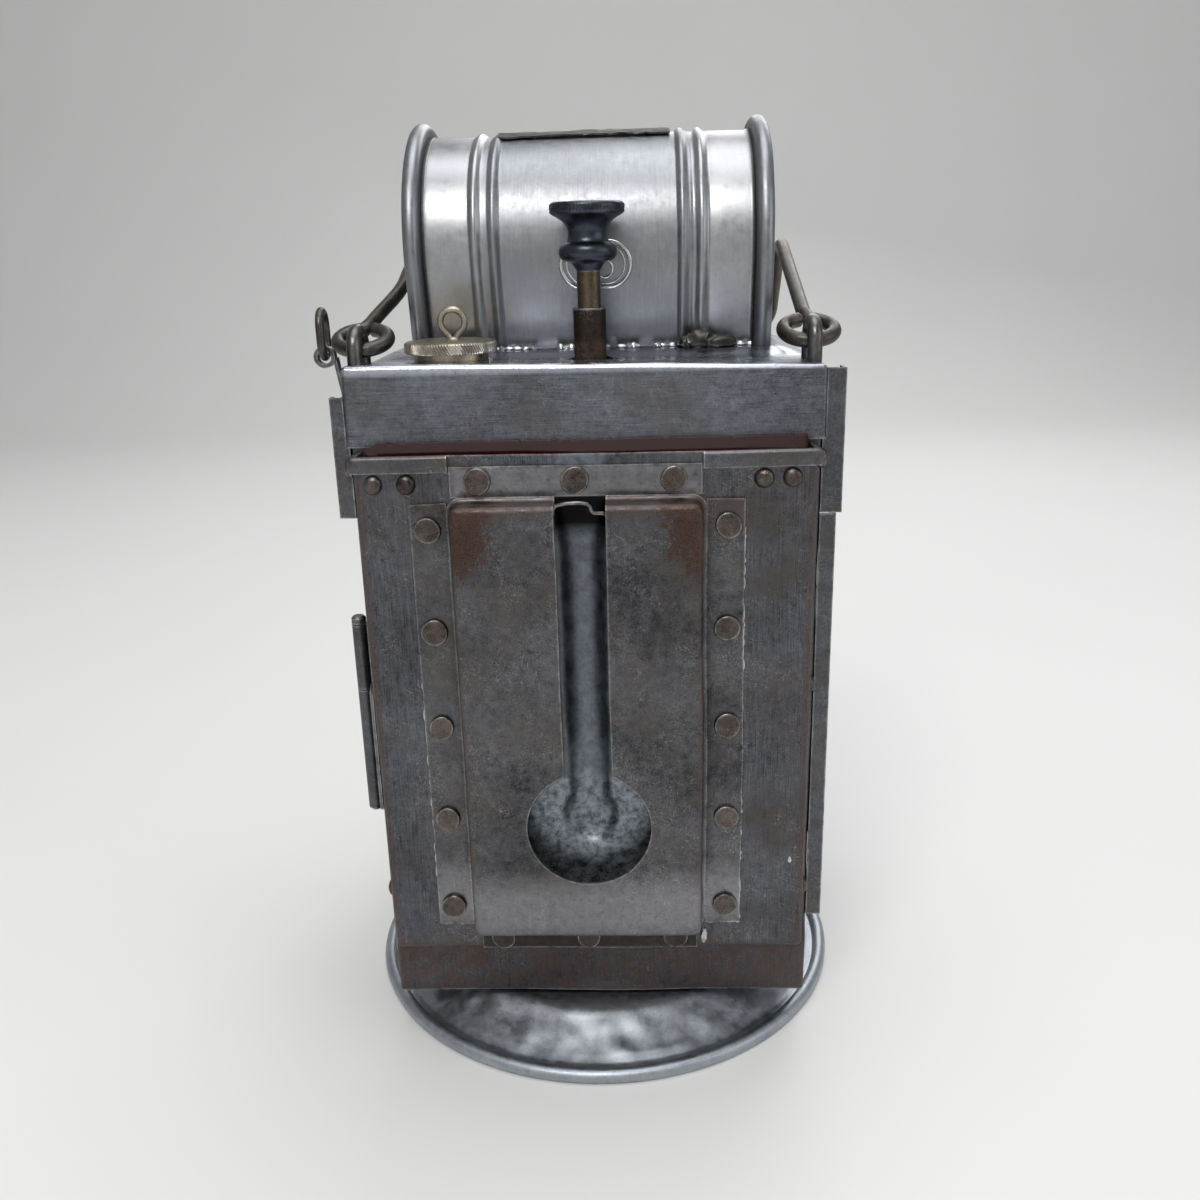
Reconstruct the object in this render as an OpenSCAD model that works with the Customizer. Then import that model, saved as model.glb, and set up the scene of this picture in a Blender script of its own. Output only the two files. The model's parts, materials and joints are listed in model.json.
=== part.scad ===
// Morse signal lamp: a tinned-sheet oil lamp with a pressed key, a smoke drum on top,
// a keyhole hanger on the pocket side (-Y) and a lens on the opposite side (+Y).
// Millimetres. Origin at the middle of the foot on the table, +Z up, +X to the right.

/* [Case] */
// Width of the case over its cover
case_w = 125; // [104:1:150]
// Depth of the case over its cover
case_d = 100; // [92:1:120]
// Height of the cover's flat rim above the table
case_top = 200; // [190:1:240]
// Height of the case's bottom above the table
case_base = 13; // [11:0.5:18]
// Thickness of the tinned sheet
sheet = 0.8; // [0.6:0.1:1]
// Height of the cover's skirt
skirt_h = 19; // [15:0.5:23]
// Rise of the cover's crown under the drum
crown_h = 2.6; // [2:0.1:3.2]

/* [Foot] */
// Outer radius of the rolled rim
foot_r = 76; // [72:0.5:91]
// Radius of the rolled bead
foot_bead_r = 2.2; // [1.8:0.1:2.6]
// Radius of the flat top of the foot
foot_flat_r = 55; // [46:0.5:60]

/* [Glass pocket] */
// Width of the pocket plate
pocket_w = 118.6; // [98:0.5:122]
// Distance of the pocket plate's face in front of the case wall
pocket_depth = 9.3; // [8.5:0.1:11]
// Height of the pocket's lower edge above the table
pocket_z0 = 34.5; // [30:0.5:38]
// Height of the pocket's sheet edge above the table
pocket_z1 = 180; // [170:0.5:182]
// Height of the hem strips over the pocket's top edge
hem_h = 4.5; // [4:0.5:8]
// Thickness of the slide glass
glass_t = 3; // [2:0.1:3.5]
// Height of the slide glass
glass_h = 147; // [130:1:150]

/* [Hanger bracket] */
// Width of the raised box
hanger_w = 64.5; // [58:0.5:70]
// Width over the two side flanges
hanger_flange_w = 86.5; // [80:0.5:92]
// Height of the raised face in front of the pocket plate
hanger_depth = 8; // [6:0.5:9]
// Height of the box's lower edge above the table
hanger_z0 = 43; // [41:0.5:48]
// Height of the box's upper edge above the table
hanger_z1 = 168; // [150:0.5:170]
// Sideways place of the box's middle
hanger_x = -2.2; // [-4:0.1:2]
// Width of the keyhole slot
slot_w = 13; // [10:0.5:15]
// Diameter of the keyhole circle
keyhole_d = 34; // [28:0.5:38]
// Height of the keyhole circle's centre above the table
keyhole_z = 77.5; // [70:0.5:84]
// Diameter of the flat bracket rivets
flat_rivet_d = 7; // [5:0.5:8]

/* [Smoke drum] */
// Radius of the drum shell
drum_r = 32; // [26.5:0.5:34]
// Length of the drum over its rolled ends
drum_l = 101; // [84:0.5:108]
// Height of the drum's axis above the cover's rim
drum_rise = 29; // [26:0.5:32]
// Place of the drum's axis behind the case's middle
drum_y = 12; // [10:0.5:14]
// Sideways place of the drum's middle
drum_x = 1.3; // [-2:0.1:2]
// Lean of the drum's lower flanks, in degrees
drum_lean = 12; // [6:1:16]
// Height of the rolled ends over the shell
drum_bead = 4; // [3:0.5:5]
// Width of the rolled ends
drum_bead_w = 4.8; // [4:0.1:6]

/* [Key] */
// Sideways place of the key
key_x = 1.5; // [-2:0.1:3]
// Place of the key in front of the case's middle
key_y = 31; // [30:0.5:34]
// Diameter of the key rod
rod_d = 6.3; // [5:0.1:7]
// Outer diameter of the key sleeve
sleeve_d = 8.8; // [8:0.1:11]
// Height of the sleeve above the cover's rim
sleeve_top = 14.3; // [12:0.1:18]
// Travel of the key
key_travel = 9; // [7:0.5:9]
// Diameter of the knob's top disc
knob_d = 19.7; // [16:0.1:20]
// Height of the knob
knob_h = 17.2; // [16:0.1:21]
// Bare length of the rod over the sleeve
rod_bare = 9.5; // [9.3:0.1:12]

/* [Brass cap] */
// Diameter of the knurled cap
cap_d = 25; // [20.5:0.5:25]
// Height of the knurled edge
cap_h = 3.4; // [3:0.1:4.5]
// Height of the cap's underside above the cover's rim
cap_gap = 3; // [2.8:0.1:5]
// Sideways place of the cap, to the left of the middle
cap_x = 36; // [33:0.5:38]
// Place of the cap in front of the case's middle
cap_y = 33; // [32:0.5:34]

/* [Bail] */
// Diameter of the bail wire
bail_wire = 4; // [3:0.1:4.2]
// Radius of the end rings at the middle of the wire
ring_r = 6.65; // [6.2:0.05:7.5]
// Height of the bail's hinge axis above the cover's rim
bail_axis_h = 5; // [4.8:0.1:6]
// Place of the bail's hinge axis in front of the case's middle
bail_axis_y = 38; // [36:0.5:40]
// Length from the hinge axis to the grip
bail_reach = 97.5; // [96:0.5:104]
// Rise of the bail's arms at rest, in degrees
bail_rise = 20; // [18:1:23]

/* [Side door] */
// Width of the side door
door_w = 88; // [76:0.5:92]
// Height of the door's lower edge above the table
door_z0 = 24; // [20:0.5:30]
// Height of the door's upper edge above the table
door_z1 = 178; // [150:0.5:179]
// Radius of the hinge knuckles
knuckle_r = 2; // [1.8:0.1:2.1]
// Diameter of the hinge pin
hinge_pin_d = 2.4; // [2:0.1:2.6]

/* [Lens and shutter] */
// Diameter of the lens
lens_d = 66; // [55:0.5:72]
// Height of the lens centre above the table
lens_z = 110; // [105:0.5:115]
// Width of the shutter plate
shutter_w = 72; // [60:0.5:76]
// Number of light slots
slot_count = 5; // [3:1:5]

/* [Burner] */
// Radius of the oil font
font_r = 30; // [25:0.5:32]
// Height of the oil font
font_h = 34; // [28:0.5:38]
// Height of the burner's axis for the wick wheel above the table
wheel_z = 66; // [64:0.5:70]
// Radius of the reflector
reflector_r = 26; // [20:0.5:27]

/* [Hidden] */
$fn = 64;

// Small amounts
eps = 0.01;
running = 0.05;    // radial clearance of a running fit
gap = 0.3;         // clearance between pieces that move apart
seat = 0.05;       // clearance of a soldered or pressed seat

// Case
wall_x = case_w / 2 - sheet;
wall_y = case_d / 2 - sheet;
in_x = wall_x - sheet;
in_y = wall_y - sheet;
cover_under = case_top - sheet;

// Crown of the cover: half sizes and middle of its foot and of its flat top
crown_foot = [case_w / 2 - 2.5, case_d / 2 - 10.75];
crown_flat = [case_w / 2 - 9.5, case_d / 2 - 21];
crown_foot_y = 8.75;
crown_flat_y = drum_y;
crown_z = case_top + crown_h;

// Pocket
pocket_y = wall_y + pocket_depth;
pocket_x = pocket_w / 2;
glass_x = pocket_x - sheet - 1;
glass_y = case_d / 2 + gap + 0.1;
glass_z = pocket_z0 + sheet + gap;
hem_t = 1.2;
small_rivet_d = 5;
small_rivet_h = 1.8;
side_rivet_d = 5.5;
// places of the small rivets across the strips beside the bracket's top flange, from the
// plate's edge: shares of the left and of the right strip
strip_shares = [[0.2, 0.545], [0.215, 0.46]];
trough_w = 12;
trough_depth = 3.8;
bowl_w = 18;

// Hanger bracket
hanger_y = pocket_y + hanger_depth;
flange_y = pocket_y + sheet;
flange_top = pocket_z1 - 2.8;
flange_low = pocket_z0 + 0.3;
hanger_fold_r = 2.2;
rivet_h = 1.2;
keyhole_x = hanger_x + 1.2;
rivet_rows = 5;
end_rivet_x = hanger_w / 2 - 7.25;

// Drum
drum_z = case_top + drum_rise;
drum_drop = drum_rise - crown_h;
shell_half = drum_l / 2 - drum_bead_w / 2;
rib_insets = [22.3, 17.1];    // from the shell's ends to the middles of its ribs
rib_w = 3;
rib_h = 1;
vent_w = 2 * (shell_half - rib_insets[0] - 1.3);
vent_d = 22;
vent_lift = 1;
vent_slot = [vent_w - 15, 4];
vent_pitch = 7;
oval_x = 3;
oval_z = drum_z - 4;

// Key
key_place = [key_x, -key_y, 0];
sleeve_z1 = case_top + sleeve_top;
knob_z = sleeve_z1 + rod_bare;
bridge_z = case_top - 17;
hub_z1 = bridge_z - gap;
hub_h = 3;
collar_h = 2;
spring_z1 = hub_z1 - hub_h - collar_h;
spring_len = 25;
spring_z0 = spring_z1 - spring_len;
seat_t = 1.2;
bridge_w = 28;
arm_x = 21;
arm_w = 6;

// Lens side
screen_y = in_y - 7.8;
screen_t = 0.8;
shutter_y = screen_y - 1.6 - screen_t;
slot_pitch = 18;
slot_h = slot_pitch / 2;
slot_span = 60;
screen_half_h = slot_count * slot_pitch / 2 + 5;
shutter_half = shutter_w / 2;

// Cap
cap_place = [-cap_x, -cap_y, 0];
cap_z = case_top + cap_gap;
collar_r = cap_d / 2 - 1.3;
bore_r = collar_r - 1.2;
tube_len = 58;
cap_roof = cap_z + cap_h - 1.4;
plug_h = 8;
neck_r = bore_r - 1.9;
washer_t = 0.8;

// Bail
staple_x = case_w / 2 - 2.6;
axis_z = case_top + bail_axis_h;
staple_r = 5;
bail_bend_r = 9;
bail_turn = 70;
bail_corner_r = 14;

// Side door
hinge_x = wall_x + 2.7;
hinge_y = wall_y - 2.7;
door_x = wall_x + gap;
door_y0 = hinge_y - 2.2;
door_lap = 6;      // how far the door laps over the wall about its opening
pull_z = 110;
leaf_z = [75, 112];
knuckle_z = [112.3, 131.3];

// Right side guides and blind
guide_x = wall_x + 4.3;
guide_y = case_d / 2 - 1;
guide_z = [39, 161];
mouth_z = [161.3, case_top - 1];
blind_x = wall_x + 1.7;
blind_z = [66, 124];
window_y = 30;
window_z = [70, 120];
guide_t = 1;       // thickness of a guide's web
lip_t = 0.9;       // thickness of a guide's lip
lip_w = 6;         // width of a guide over its web and lip

// Burner
burner_y = -2;
wick_w = 12;
wick_t = 2;
wheel_r = 3;
wheel_y = burner_y + wick_t / 2 + gap + wheel_r;
shaft_r = 1;
font_top = case_base + sheet + font_h;

// Hook eye: its lower bow runs through the strap's curl
hook_place = [-case_w / 2 - 4.2, -(bail_axis_y + 8), case_top + 8.5];
hook_wire_r = 1.1;
hook_turn = 5;
hook_bow = 4.2;
hook_run = 3;

// ---------------------------------------------------------------- helpers
module block(low, high) {
    translate(low) cube(high - low);
}

// A ring of round wire about Z
module ring(major, minor) {
    rotate_extrude($fn = 64) translate([major, 0]) circle(minor, $fn = 32);
}

// The same piece on the left and on the right
module both_sides() {
    children();
    mirror([1, 0, 0]) children();
}

// A tube about Z
module tube(r_out, r_in, z0, z1) {
    difference() {
        translate([0, 0, z0]) cylinder(h = z1 - z0, r = r_out);
        translate([0, 0, z0 - 1]) cylinder(h = z1 - z0 + 2, r = r_in);
    }
}

// A disc with its axis along Y, its back face at y = 0 and its head towards -Y
module stud(d, h) {
    rotate([90, 0, 0]) cylinder(h = h, d = d);
}

// ---------------------------------------------------------------- foot and case
module foot() {
    flat_z = case_base;
    color("slategray") rotate_extrude($fn = 128) {
        intersection() {
            translate([foot_r - foot_bead_r, foot_bead_r - 0.2]) circle(foot_bead_r, $fn = 32);
            translate([foot_r - 3 * foot_bead_r, 0]) square(4 * foot_bead_r);
        }
        polygon([
            [0, flat_z], [foot_flat_r, flat_z], [foot_flat_r + 1.5, flat_z - 1.8],
            [foot_r - 8.5, 3.4], [foot_r - 5.8, 2.2], [foot_r - 3, 2.9],
            [foot_r - 3, 2.1], [foot_r - 5.8, 1.4], [foot_r - 8.8, 2.6],
            [foot_flat_r + 1, flat_z - 2.6], [foot_flat_r - 0.5, flat_z - sheet], [0, flat_z - sheet]
        ]);
    }
}

module floor_plate() {
    color("dimgray") block([-in_x, -in_y, case_base], [in_x, in_y, case_base + sheet]);
}

module front_wall() {
    color("dimgray") block([-wall_x, -wall_y, case_base], [wall_x, -in_y, cover_under]);
}

module rear_wall() {
    color("dimgray") difference() {
        block([-wall_x, in_y, case_base], [wall_x, wall_y, cover_under]);
        translate([0, in_y - 1, lens_z]) rotate([-90, 0, 0]) cylinder(h = sheet + 2, d = lens_d - 4);
    }
}

module left_wall() {
    opening_y = door_w / 2 - door_lap;
    color("dimgray") difference() {
        block([-wall_x, -in_y, case_base], [-in_x, in_y, cover_under]);
        block([-wall_x - 1, -opening_y, door_z0 + door_lap], [-in_x + 1, opening_y, door_z1 - door_lap]);
    }
}

module right_wall() {
    color("dimgray") difference() {
        block([in_x, -in_y, case_base], [wall_x, in_y, cover_under]);
        block([in_x - 1, -window_y, window_z[0]], [wall_x + 1, window_y, window_z[1]]);
    }
}

// A low frustum: foot rectangle at z0, smaller rectangle at z1
module frustum(foot_size, foot_y, top_size, top_y, z0, z1) {
    hull() {
        translate([-foot_size[0], foot_y - foot_size[1], z0])
            cube([2 * foot_size[0], 2 * foot_size[1], eps]);
        translate([-top_size[0], top_y - top_size[1], z1 - eps])
            cube([2 * top_size[0], 2 * top_size[1], eps]);
    }
}

module top_cover() {
    throat = [36, 18];
    skirt_z = case_top - skirt_h;
    hole_r = sleeve_d / 2 + 2;
    crown_in = [sheet, sheet];
    color("gray") difference() {
        union() {
            block([-case_w / 2, -case_d / 2, skirt_z], [case_w / 2, case_d / 2, case_top]);
            frustum(crown_foot, crown_foot_y, crown_flat, crown_flat_y, case_top - eps, crown_z);
        }
        block([-wall_x, -wall_y, skirt_z - 1], [wall_x, wall_y, cover_under]);
        frustum(
            crown_foot - crown_in, crown_foot_y, crown_flat - crown_in, crown_flat_y,
            cover_under - eps, crown_z - sheet
        );
        block(
            [-throat[0], drum_y - throat[1], cover_under - 1],
            [throat[0], drum_y + throat[1], crown_z + 1]
        );
        translate(key_place) translate([0, 0, cover_under - 1]) cylinder(h = crown_h + 3, r = hole_r);
        translate(cap_place) translate([0, 0, cover_under - 1])
            cylinder(h = crown_h + 3, r = collar_r + seat);
    }
}

// ---------------------------------------------------------------- pocket and hanger
// A groove with a wider bowl at its lower end, grown by g
module trough_form(g) {
    groove_r = (pow(trough_w / 2, 2) + pow(trough_depth, 2)) / (2 * trough_depth);
    bowl_r = (pow(bowl_w / 2, 2) + pow(trough_depth, 2)) / (2 * trough_depth);
    top_z = hanger_z1 - 8;
    translate([keyhole_x, -pocket_y + trough_depth - groove_r, keyhole_z]) {
        cylinder(h = top_z - keyhole_z, r = groove_r + g);
        translate([0, 0, top_z - keyhole_z]) sphere(groove_r + g);
    }
    translate([keyhole_x, -pocket_y + trough_depth - bowl_r, keyhole_z]) sphere(bowl_r + g);
}

module pocket_plate() {
    back_y = -pocket_y + sheet;
    color("dimgray") {
        difference() {
            union() {
                block([-pocket_x, -pocket_y, pocket_z0], [pocket_x, back_y, pocket_z1]);
                intersection() {
                    trough_form(sheet);
                    block([-pocket_x, -pocket_y, pocket_z0], [pocket_x, -wall_y, pocket_z1]);
                }
                both_sides()
                    block([pocket_x - sheet, back_y - eps, pocket_z0], [pocket_x, -wall_y, pocket_z1]);
                block([-pocket_x, back_y - eps, pocket_z0], [pocket_x, -wall_y, pocket_z0 + sheet]);
            }
            trough_form(0);
        }
    }
}

module pocket_hems() {
    z1 = pocket_z1 + 0.4;
    z0 = z1 - hem_h;
    out_x = pocket_x + hem_t;
    out_y = -pocket_y - hem_t;
    // the strips leave the bracket's top flange free between them
    module hem(inner) {
        block([inner, out_y, z0], [out_x, -pocket_y, z1]);
        block([inner, out_y, pocket_z1], [out_x, -pocket_y + sheet + 1, z1]);
        block([pocket_x, out_y, z0], [out_x, -case_d / 2, z1]);
    }
    color("gray") {
        hem(hanger_x + hanger_w / 2 + gap);
        mirror([1, 0, 0]) hem(-hanger_x + hanger_w / 2 + gap);
    }
}

// Flat-topped button head with a narrow rounded edge
module small_rivet(d, h) {
    r = d / 2;
    rotate([90, 0, 0]) rotate_extrude($fn = 32)
        polygon([[0, 0], [r, 0], [r, h * 0.35], [r * 0.8, h * 0.8], [r * 0.45, h], [0, h]]);
}

module pocket_rivets() {
    top_z = pocket_z1 - 7.2;
    side_z = [pocket_z1 - 3.3, (pocket_z0 + pocket_z1) / 2 + 7.5, pocket_z0 + 17.8];
    mid_y = -(wall_y + pocket_y) / 2;
    color("saddlebrown") {
        for (i = [0, 1]) {
            side = 2 * i - 1;
            strip = pocket_x - hanger_w / 2 - side * hanger_x;
            for (share = strip_shares[i]) translate([side * (pocket_x - share * strip), -pocket_y, top_z])
                small_rivet(small_rivet_d, small_rivet_h);
        }
        both_sides() for (i = [0:2]) translate([pocket_x + (i == 0 ? hem_t : 0), mid_y, side_z[i]])
            rotate([0, 90, 0]) cylinder(h = small_rivet_h, d = side_rivet_d);
    }
}

module slide_glass() {
    color([0.35, 0.02, 0.03, 0.8])
        block([-glass_x, -glass_y - glass_t, glass_z], [glass_x, -glass_y, glass_z + glass_h]);
}

// A bar along Z whose two front (-Y) edges are rounded; centred on x = 0, front face at y = -depth
module rounded_front(width, depth, r) {
    half = width / 2;
    translate([-half, r - depth]) square([width, depth - r]);
    translate([r - half, -depth]) square([width - 2 * r, depth]);
    for (x = [r - half, half - r]) translate([x, r - depth]) circle(r);
}

module hanger_bracket() {
    half = hanger_w / 2;
    flange_half = hanger_flange_w / 2;
    slot_x = keyhole_x - hanger_x;
    color("gray") translate([hanger_x, 0, 0]) {
        difference() {
            translate([0, -pocket_y, hanger_z0]) linear_extrude(hanger_z1 - hanger_z0)
                rounded_front(hanger_w, hanger_depth, hanger_fold_r);
            translate([0, -pocket_y, hanger_z0 + sheet]) linear_extrude(hanger_z1 - hanger_z0 - 2 * sheet)
                translate([0, 0.001])
                rounded_front(hanger_w - 2 * sheet, hanger_depth - sheet, hanger_fold_r - sheet);
            block([slot_x - slot_w / 2, -hanger_y - 1, keyhole_z],
                [slot_x + slot_w / 2, -flange_y - 0.4, hanger_z1 + 1]);
            translate([slot_x, -hanger_y + sheet + 1, keyhole_z]) stud(keyhole_d, sheet + 3);
        }
        both_sides() block([half - eps, -flange_y, hanger_z0], [flange_half, -pocket_y, hanger_z1]);
        block([-half, -flange_y, hanger_z1 - eps], [half, -pocket_y, flange_top]);
        block([-half, -flange_y, flange_low], [half, -pocket_y, hanger_z0 + eps]);
    }
}

module bracket_rivets() {
    column_x = (hanger_w + hanger_flange_w) / 4 + 1;
    first_z = hanger_z0 + 6.5;
    step_z = (hanger_z1 - 7 - first_z) / (rivet_rows - 1);
    color("saddlebrown") translate([hanger_x, -flange_y, 0]) {
        for (side = [-1, 1]) for (i = [0:rivet_rows - 1])
            translate([side * column_x, 0, first_z + i * step_z]) stud(flat_rivet_d, rivet_h);
        for (x = [-end_rivet_x, 0, end_rivet_x]) {
            translate([x, 0, (hanger_z1 + flange_top) / 2 + 0.8]) stud(flat_rivet_d, rivet_h);
            translate([x, 0, (hanger_z0 + flange_low) / 2]) stud(flat_rivet_d, rivet_h);
        }
    }
}

// ---------------------------------------------------------------- smoke drum
function flank_half(r) =
    r * cos(drum_lean) - tan(drum_lean) * (drum_drop - r * sin(drum_lean));

// Outline of the drum in the YZ plane: round on top, flanks leaning in to the cover
module arch(r) {
    side = r * cos(drum_lean);
    low = r * sin(drum_lean);
    intersection() {
        union() {
            circle(r, $fn = 128);
            polygon([[-side, -low], [side, -low], [flank_half(r), -drum_drop], [-flank_half(r), -drum_drop]]);
        }
        translate([-2 * r, -drum_drop]) square([4 * r, drum_drop + 2 * r]);
    }
}

// An arch-shaped band from x0 to x1
module arch_band(r_out, r_in, x0, x1) {
    translate([drum_x + x0, drum_y, drum_z]) rotate([90, 0, 90]) linear_extrude(x1 - x0)
        difference() {
            arch(r_out);
            arch_core(r_in);
        }
}

// The hollow of a band runs out through the bottom
module arch_core(r) {
    arch(r);
    translate([-flank_half(r), -drum_drop - 1]) square([2 * flank_half(r), 2]);
}

module drum_shell() {
    slot_depth = 4;
    color("silver") difference() {
        union() {
            arch_band(drum_r, drum_r - sheet, -shell_half, shell_half);
            for (side = [-1, 1]) for (inset = rib_insets) {
                mid = side * (shell_half - inset);
                arch_band(drum_r + rib_h, drum_r - sheet, mid - rib_w / 2, mid + rib_w / 2);
            }
        }
        for (y = [-vent_pitch, 0, vent_pitch])
            translate([drum_x - vent_slot[0] / 2, drum_y + y - vent_slot[1] / 2, drum_z + drum_r - slot_depth])
                cube([vent_slot[0], vent_slot[1], slot_depth + 2]);
    }
}

module drum_ends() {
    half = drum_l / 2;
    bore = drum_r + seat;
    color("gray") for (side = [-1, 1]) {
        x0 = side < 0 ? -half : half - drum_bead_w;
        end_x = side < 0 ? -half + 1 : half - 1 - sheet;
        arch_band(drum_r + drum_bead, bore, x0, x0 + drum_bead_w);
        translate([drum_x + end_x, drum_y, drum_z]) rotate([90, 0, 90]) linear_extrude(sheet)
            arch(bore + 0.5);
    }
}

module vent_cover() {
    z0 = drum_z + drum_r + vent_lift;
    foot_y = vent_d / 2 - 1;
    drop = drum_r - sqrt(pow(drum_r, 2) - pow(foot_y - 1, 2));
    color("dimgray") translate([drum_x - 1.5, drum_y, 0]) difference() {
        union() {
            block([-vent_w / 2, -vent_d / 2, z0], [vent_w / 2, vent_d / 2, z0 + sheet]);
            for (x = [-vent_w / 2 + 5, vent_w / 2 - 5]) for (side = [-1, 1])
                block([x - 1, side * foot_y - 1, z0 - drop - 1.5], [x + 1, side * foot_y + 1, z0 + eps]);
        }
        translate([-vent_w, 0, drum_z]) rotate([0, 90, 0]) cylinder(h = 2 * vent_w, r = drum_r + seat, $fn = 128);
    }
}

module oval_plate() {
    size = [19, 12];
    end_r = size[1] / 2;
    run = size[0] / 2 - end_r;
    color("silver") intersection() {
        translate([oval_x, drum_y - drum_r / 2, oval_z]) rotate([90, 0, 0]) linear_extrude(drum_r) {
            for (x = [-run, run]) translate([x, 0]) circle(end_r);
            square([2 * run, size[1]], center = true);
        }
        arch_band(drum_r + 0.6, drum_r + 0.02, oval_x - drum_x - size[0], oval_x - drum_x + size[0]);
    }
}

// ---------------------------------------------------------------- key
module key_knob() {
    r = knob_d / 2;
    color("#2b2d33") translate(key_place) translate([0, 0, knob_z]) rotate_extrude($fn = 64) {
        polygon([
            [0, 0], [3.1, 0], [4.2, 1.7], [4.9, 3.2], [5, 6.4], [5.2, 9.3], [5.8, 11.2],
            [7.1, knob_h - 4.2], [r - 0.9, knob_h - 3.2], [r, knob_h - 2.4],
            [r, knob_h - 0.5], [r - 0.6, knob_h], [0, knob_h]
        ]);
        translate([5.3, 4.7]) circle(2.5, $fn = 32);
    }
}

module key_rod() {
    color("darkgoldenrod") translate(key_place) {
        translate([0, 0, spring_z0 - seat_t - 2.5])
            cylinder(h = knob_z - spring_z0 + seat_t + 2.5, d = rod_d);
        translate([0, 0, spring_z1]) cylinder(h = collar_h, r = rod_d / 2 + 3);
    }
}

module key_sleeve() {
    flange_r = sleeve_d / 2 + 1.6;
    color("#3d2f26") translate(key_place) difference() {
        union() {
            translate([0, 0, bridge_z]) cylinder(h = sleeve_z1 - bridge_z, d = sleeve_d);
            translate([0, 0, bridge_z + seat_t]) cylinder(h = 1.2, r = flange_r);
        }
        translate([0, 0, bridge_z - 1]) cylinder(h = sleeve_z1 - bridge_z + 2, d = rod_d + 2 * running);
    }
}

// A shelf fixed to the front wall, with a round hole about the key
module key_shelf(z0, hole_d, reach) {
    difference() {
        union() {
            block([key_x - bridge_w / 2, -in_y, z0], [key_x + bridge_w / 2, -key_y + reach, z0 + seat_t]);
            block([key_x - bridge_w / 2, -in_y, z0], [key_x + bridge_w / 2, -in_y + seat_t, z0 + 9]);
        }
        translate(key_place) translate([0, 0, z0 - 1]) cylinder(h = seat_t + 2, d = hole_d);
    }
}

module key_bridge() {
    color("gray") key_shelf(bridge_z, sleeve_d + 2 * seat, 10);
}

module spring_seat() {
    color("gray") key_shelf(spring_z0 - seat_t, rod_d + 2 * running, 8);
}

module key_yoke() {
    z0 = hub_z1 - hub_h;
    arm_y1 = shutter_y;
    color("gray") difference() {
        union() {
            translate(key_place) translate([0, 0, z0]) cylinder(h = hub_h, r = rod_d / 2 + 3.5);
            block([-arm_x - arm_w / 2, -key_y - 3, z0], [arm_x + arm_w / 2, -key_y + 3, z0 + 1.6]);
            for (x = [-arm_x, arm_x])
                block([x - arm_w / 2, -key_y - 3, z0], [x + arm_w / 2, arm_y1, z0 + 1.6]);
        }
        translate(key_place) translate([0, 0, z0 - 1]) cylinder(h = hub_h + 2, r = rod_d / 2 + 0.02);
    }
}

// Compression spring: one unbroken round wire, its rings placed by a formula
module return_spring() {
    turns = 7;
    steps = 12;
    sides = 6;
    wire_r = 0.6;
    mean_r = rod_d / 2 + 1.5;
    rings = turns * steps;
    z0 = spring_z0 + wire_r + 0.05;
    rise = spring_len - 2 * wire_r - 0.1;
    points = [
        for (i = [0:rings]) for (j = [0:sides - 1])
            let (a = 360 * i / steps, b = 360 * j / sides, rad = mean_r + wire_r * cos(b))
            [rad * cos(a), rad * sin(a), z0 + rise * i / rings + wire_r * sin(b)]
    ];
    sides_faces = [
        for (i = [0:rings - 1]) for (j = [0:sides - 1])
            let (a = i * sides + j, b = i * sides + (j + 1) % sides)
            each [[a, a + sides, b], [b, a + sides, b + sides]]
    ];
    low_cap = [for (j = [1:sides - 2]) [0, j, j + 1]];
    last = rings * sides;
    high_cap = [for (j = [1:sides - 2]) [last, last + j + 1, last + j]];
    echo(least_gap_between_turns = rise / turns - 2 * wire_r);
    color("lightgray") translate(key_place)
        polyhedron(points, concat(sides_faces, low_cap, high_cap), convexity = 10);
}

// Slots across a plate, centred on z = 0
module light_slots(thickness) {
    for (i = [0:slot_count - 1])
        translate([-slot_span / 2, -1, (i - (slot_count - 1) / 2) * slot_pitch - slot_h / 2])
            cube([slot_span, thickness + 2, slot_h]);
}

module shutter() {
    z0 = lens_z - screen_half_h;
    z1 = lens_z + screen_half_h;
    color("#404040") {
        difference() {
            block([-shutter_half, shutter_y, z0], [shutter_half, shutter_y + screen_t, z1]);
            translate([0, shutter_y, lens_z + key_travel]) light_slots(screen_t);
        }
        for (x = [-arm_x, arm_x])
            block([x - arm_w / 2, shutter_y, z1 - eps], [x + arm_w / 2, shutter_y + screen_t, hub_z1]);
    }
}

module slotted_screen() {
    half = shutter_half + 3;
    z0 = lens_z - screen_half_h - 4;
    z1 = lens_z + screen_half_h + 4;
    color("#303030") {
        difference() {
            block([-half, screen_y, z0], [half, screen_y + screen_t, z1]);
            translate([0, screen_y, lens_z]) light_slots(screen_t);
        }
        both_sides() block([half - sheet, screen_y, z0], [half, in_y, z1]);
    }
}

module shutter_guides() {
    z0 = lens_z - screen_half_h - 4;
    z1 = lens_z + screen_half_h + 4;
    web = shutter_half + gap + 0.1;
    color("gray") both_sides() {
        block([web, shutter_y - gap - 0.8, z0], [web + 1, screen_y, z1]);
        block([web - 3, shutter_y - gap - 0.8, z0], [web + 1, shutter_y - gap, z1]);
    }
}

// ---------------------------------------------------------------- brass cap and its tube
module brass_cap() {
    r = cap_d / 2;
    color("darkgoldenrod") translate(cap_place) translate([0, 0, cap_z]) {
        difference() {
            cylinder(h = cap_h, r = r);
            translate([0, 0, -1]) cylinder(h = 1 + cap_h - 1.4, r = collar_r + gap);
        }
        translate([0, 0, cap_h - 0.9]) cylinder(h = 0.9 + 0.5, r1 = r - 0.3, r2 = r - 1.5);
    }
}

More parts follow.
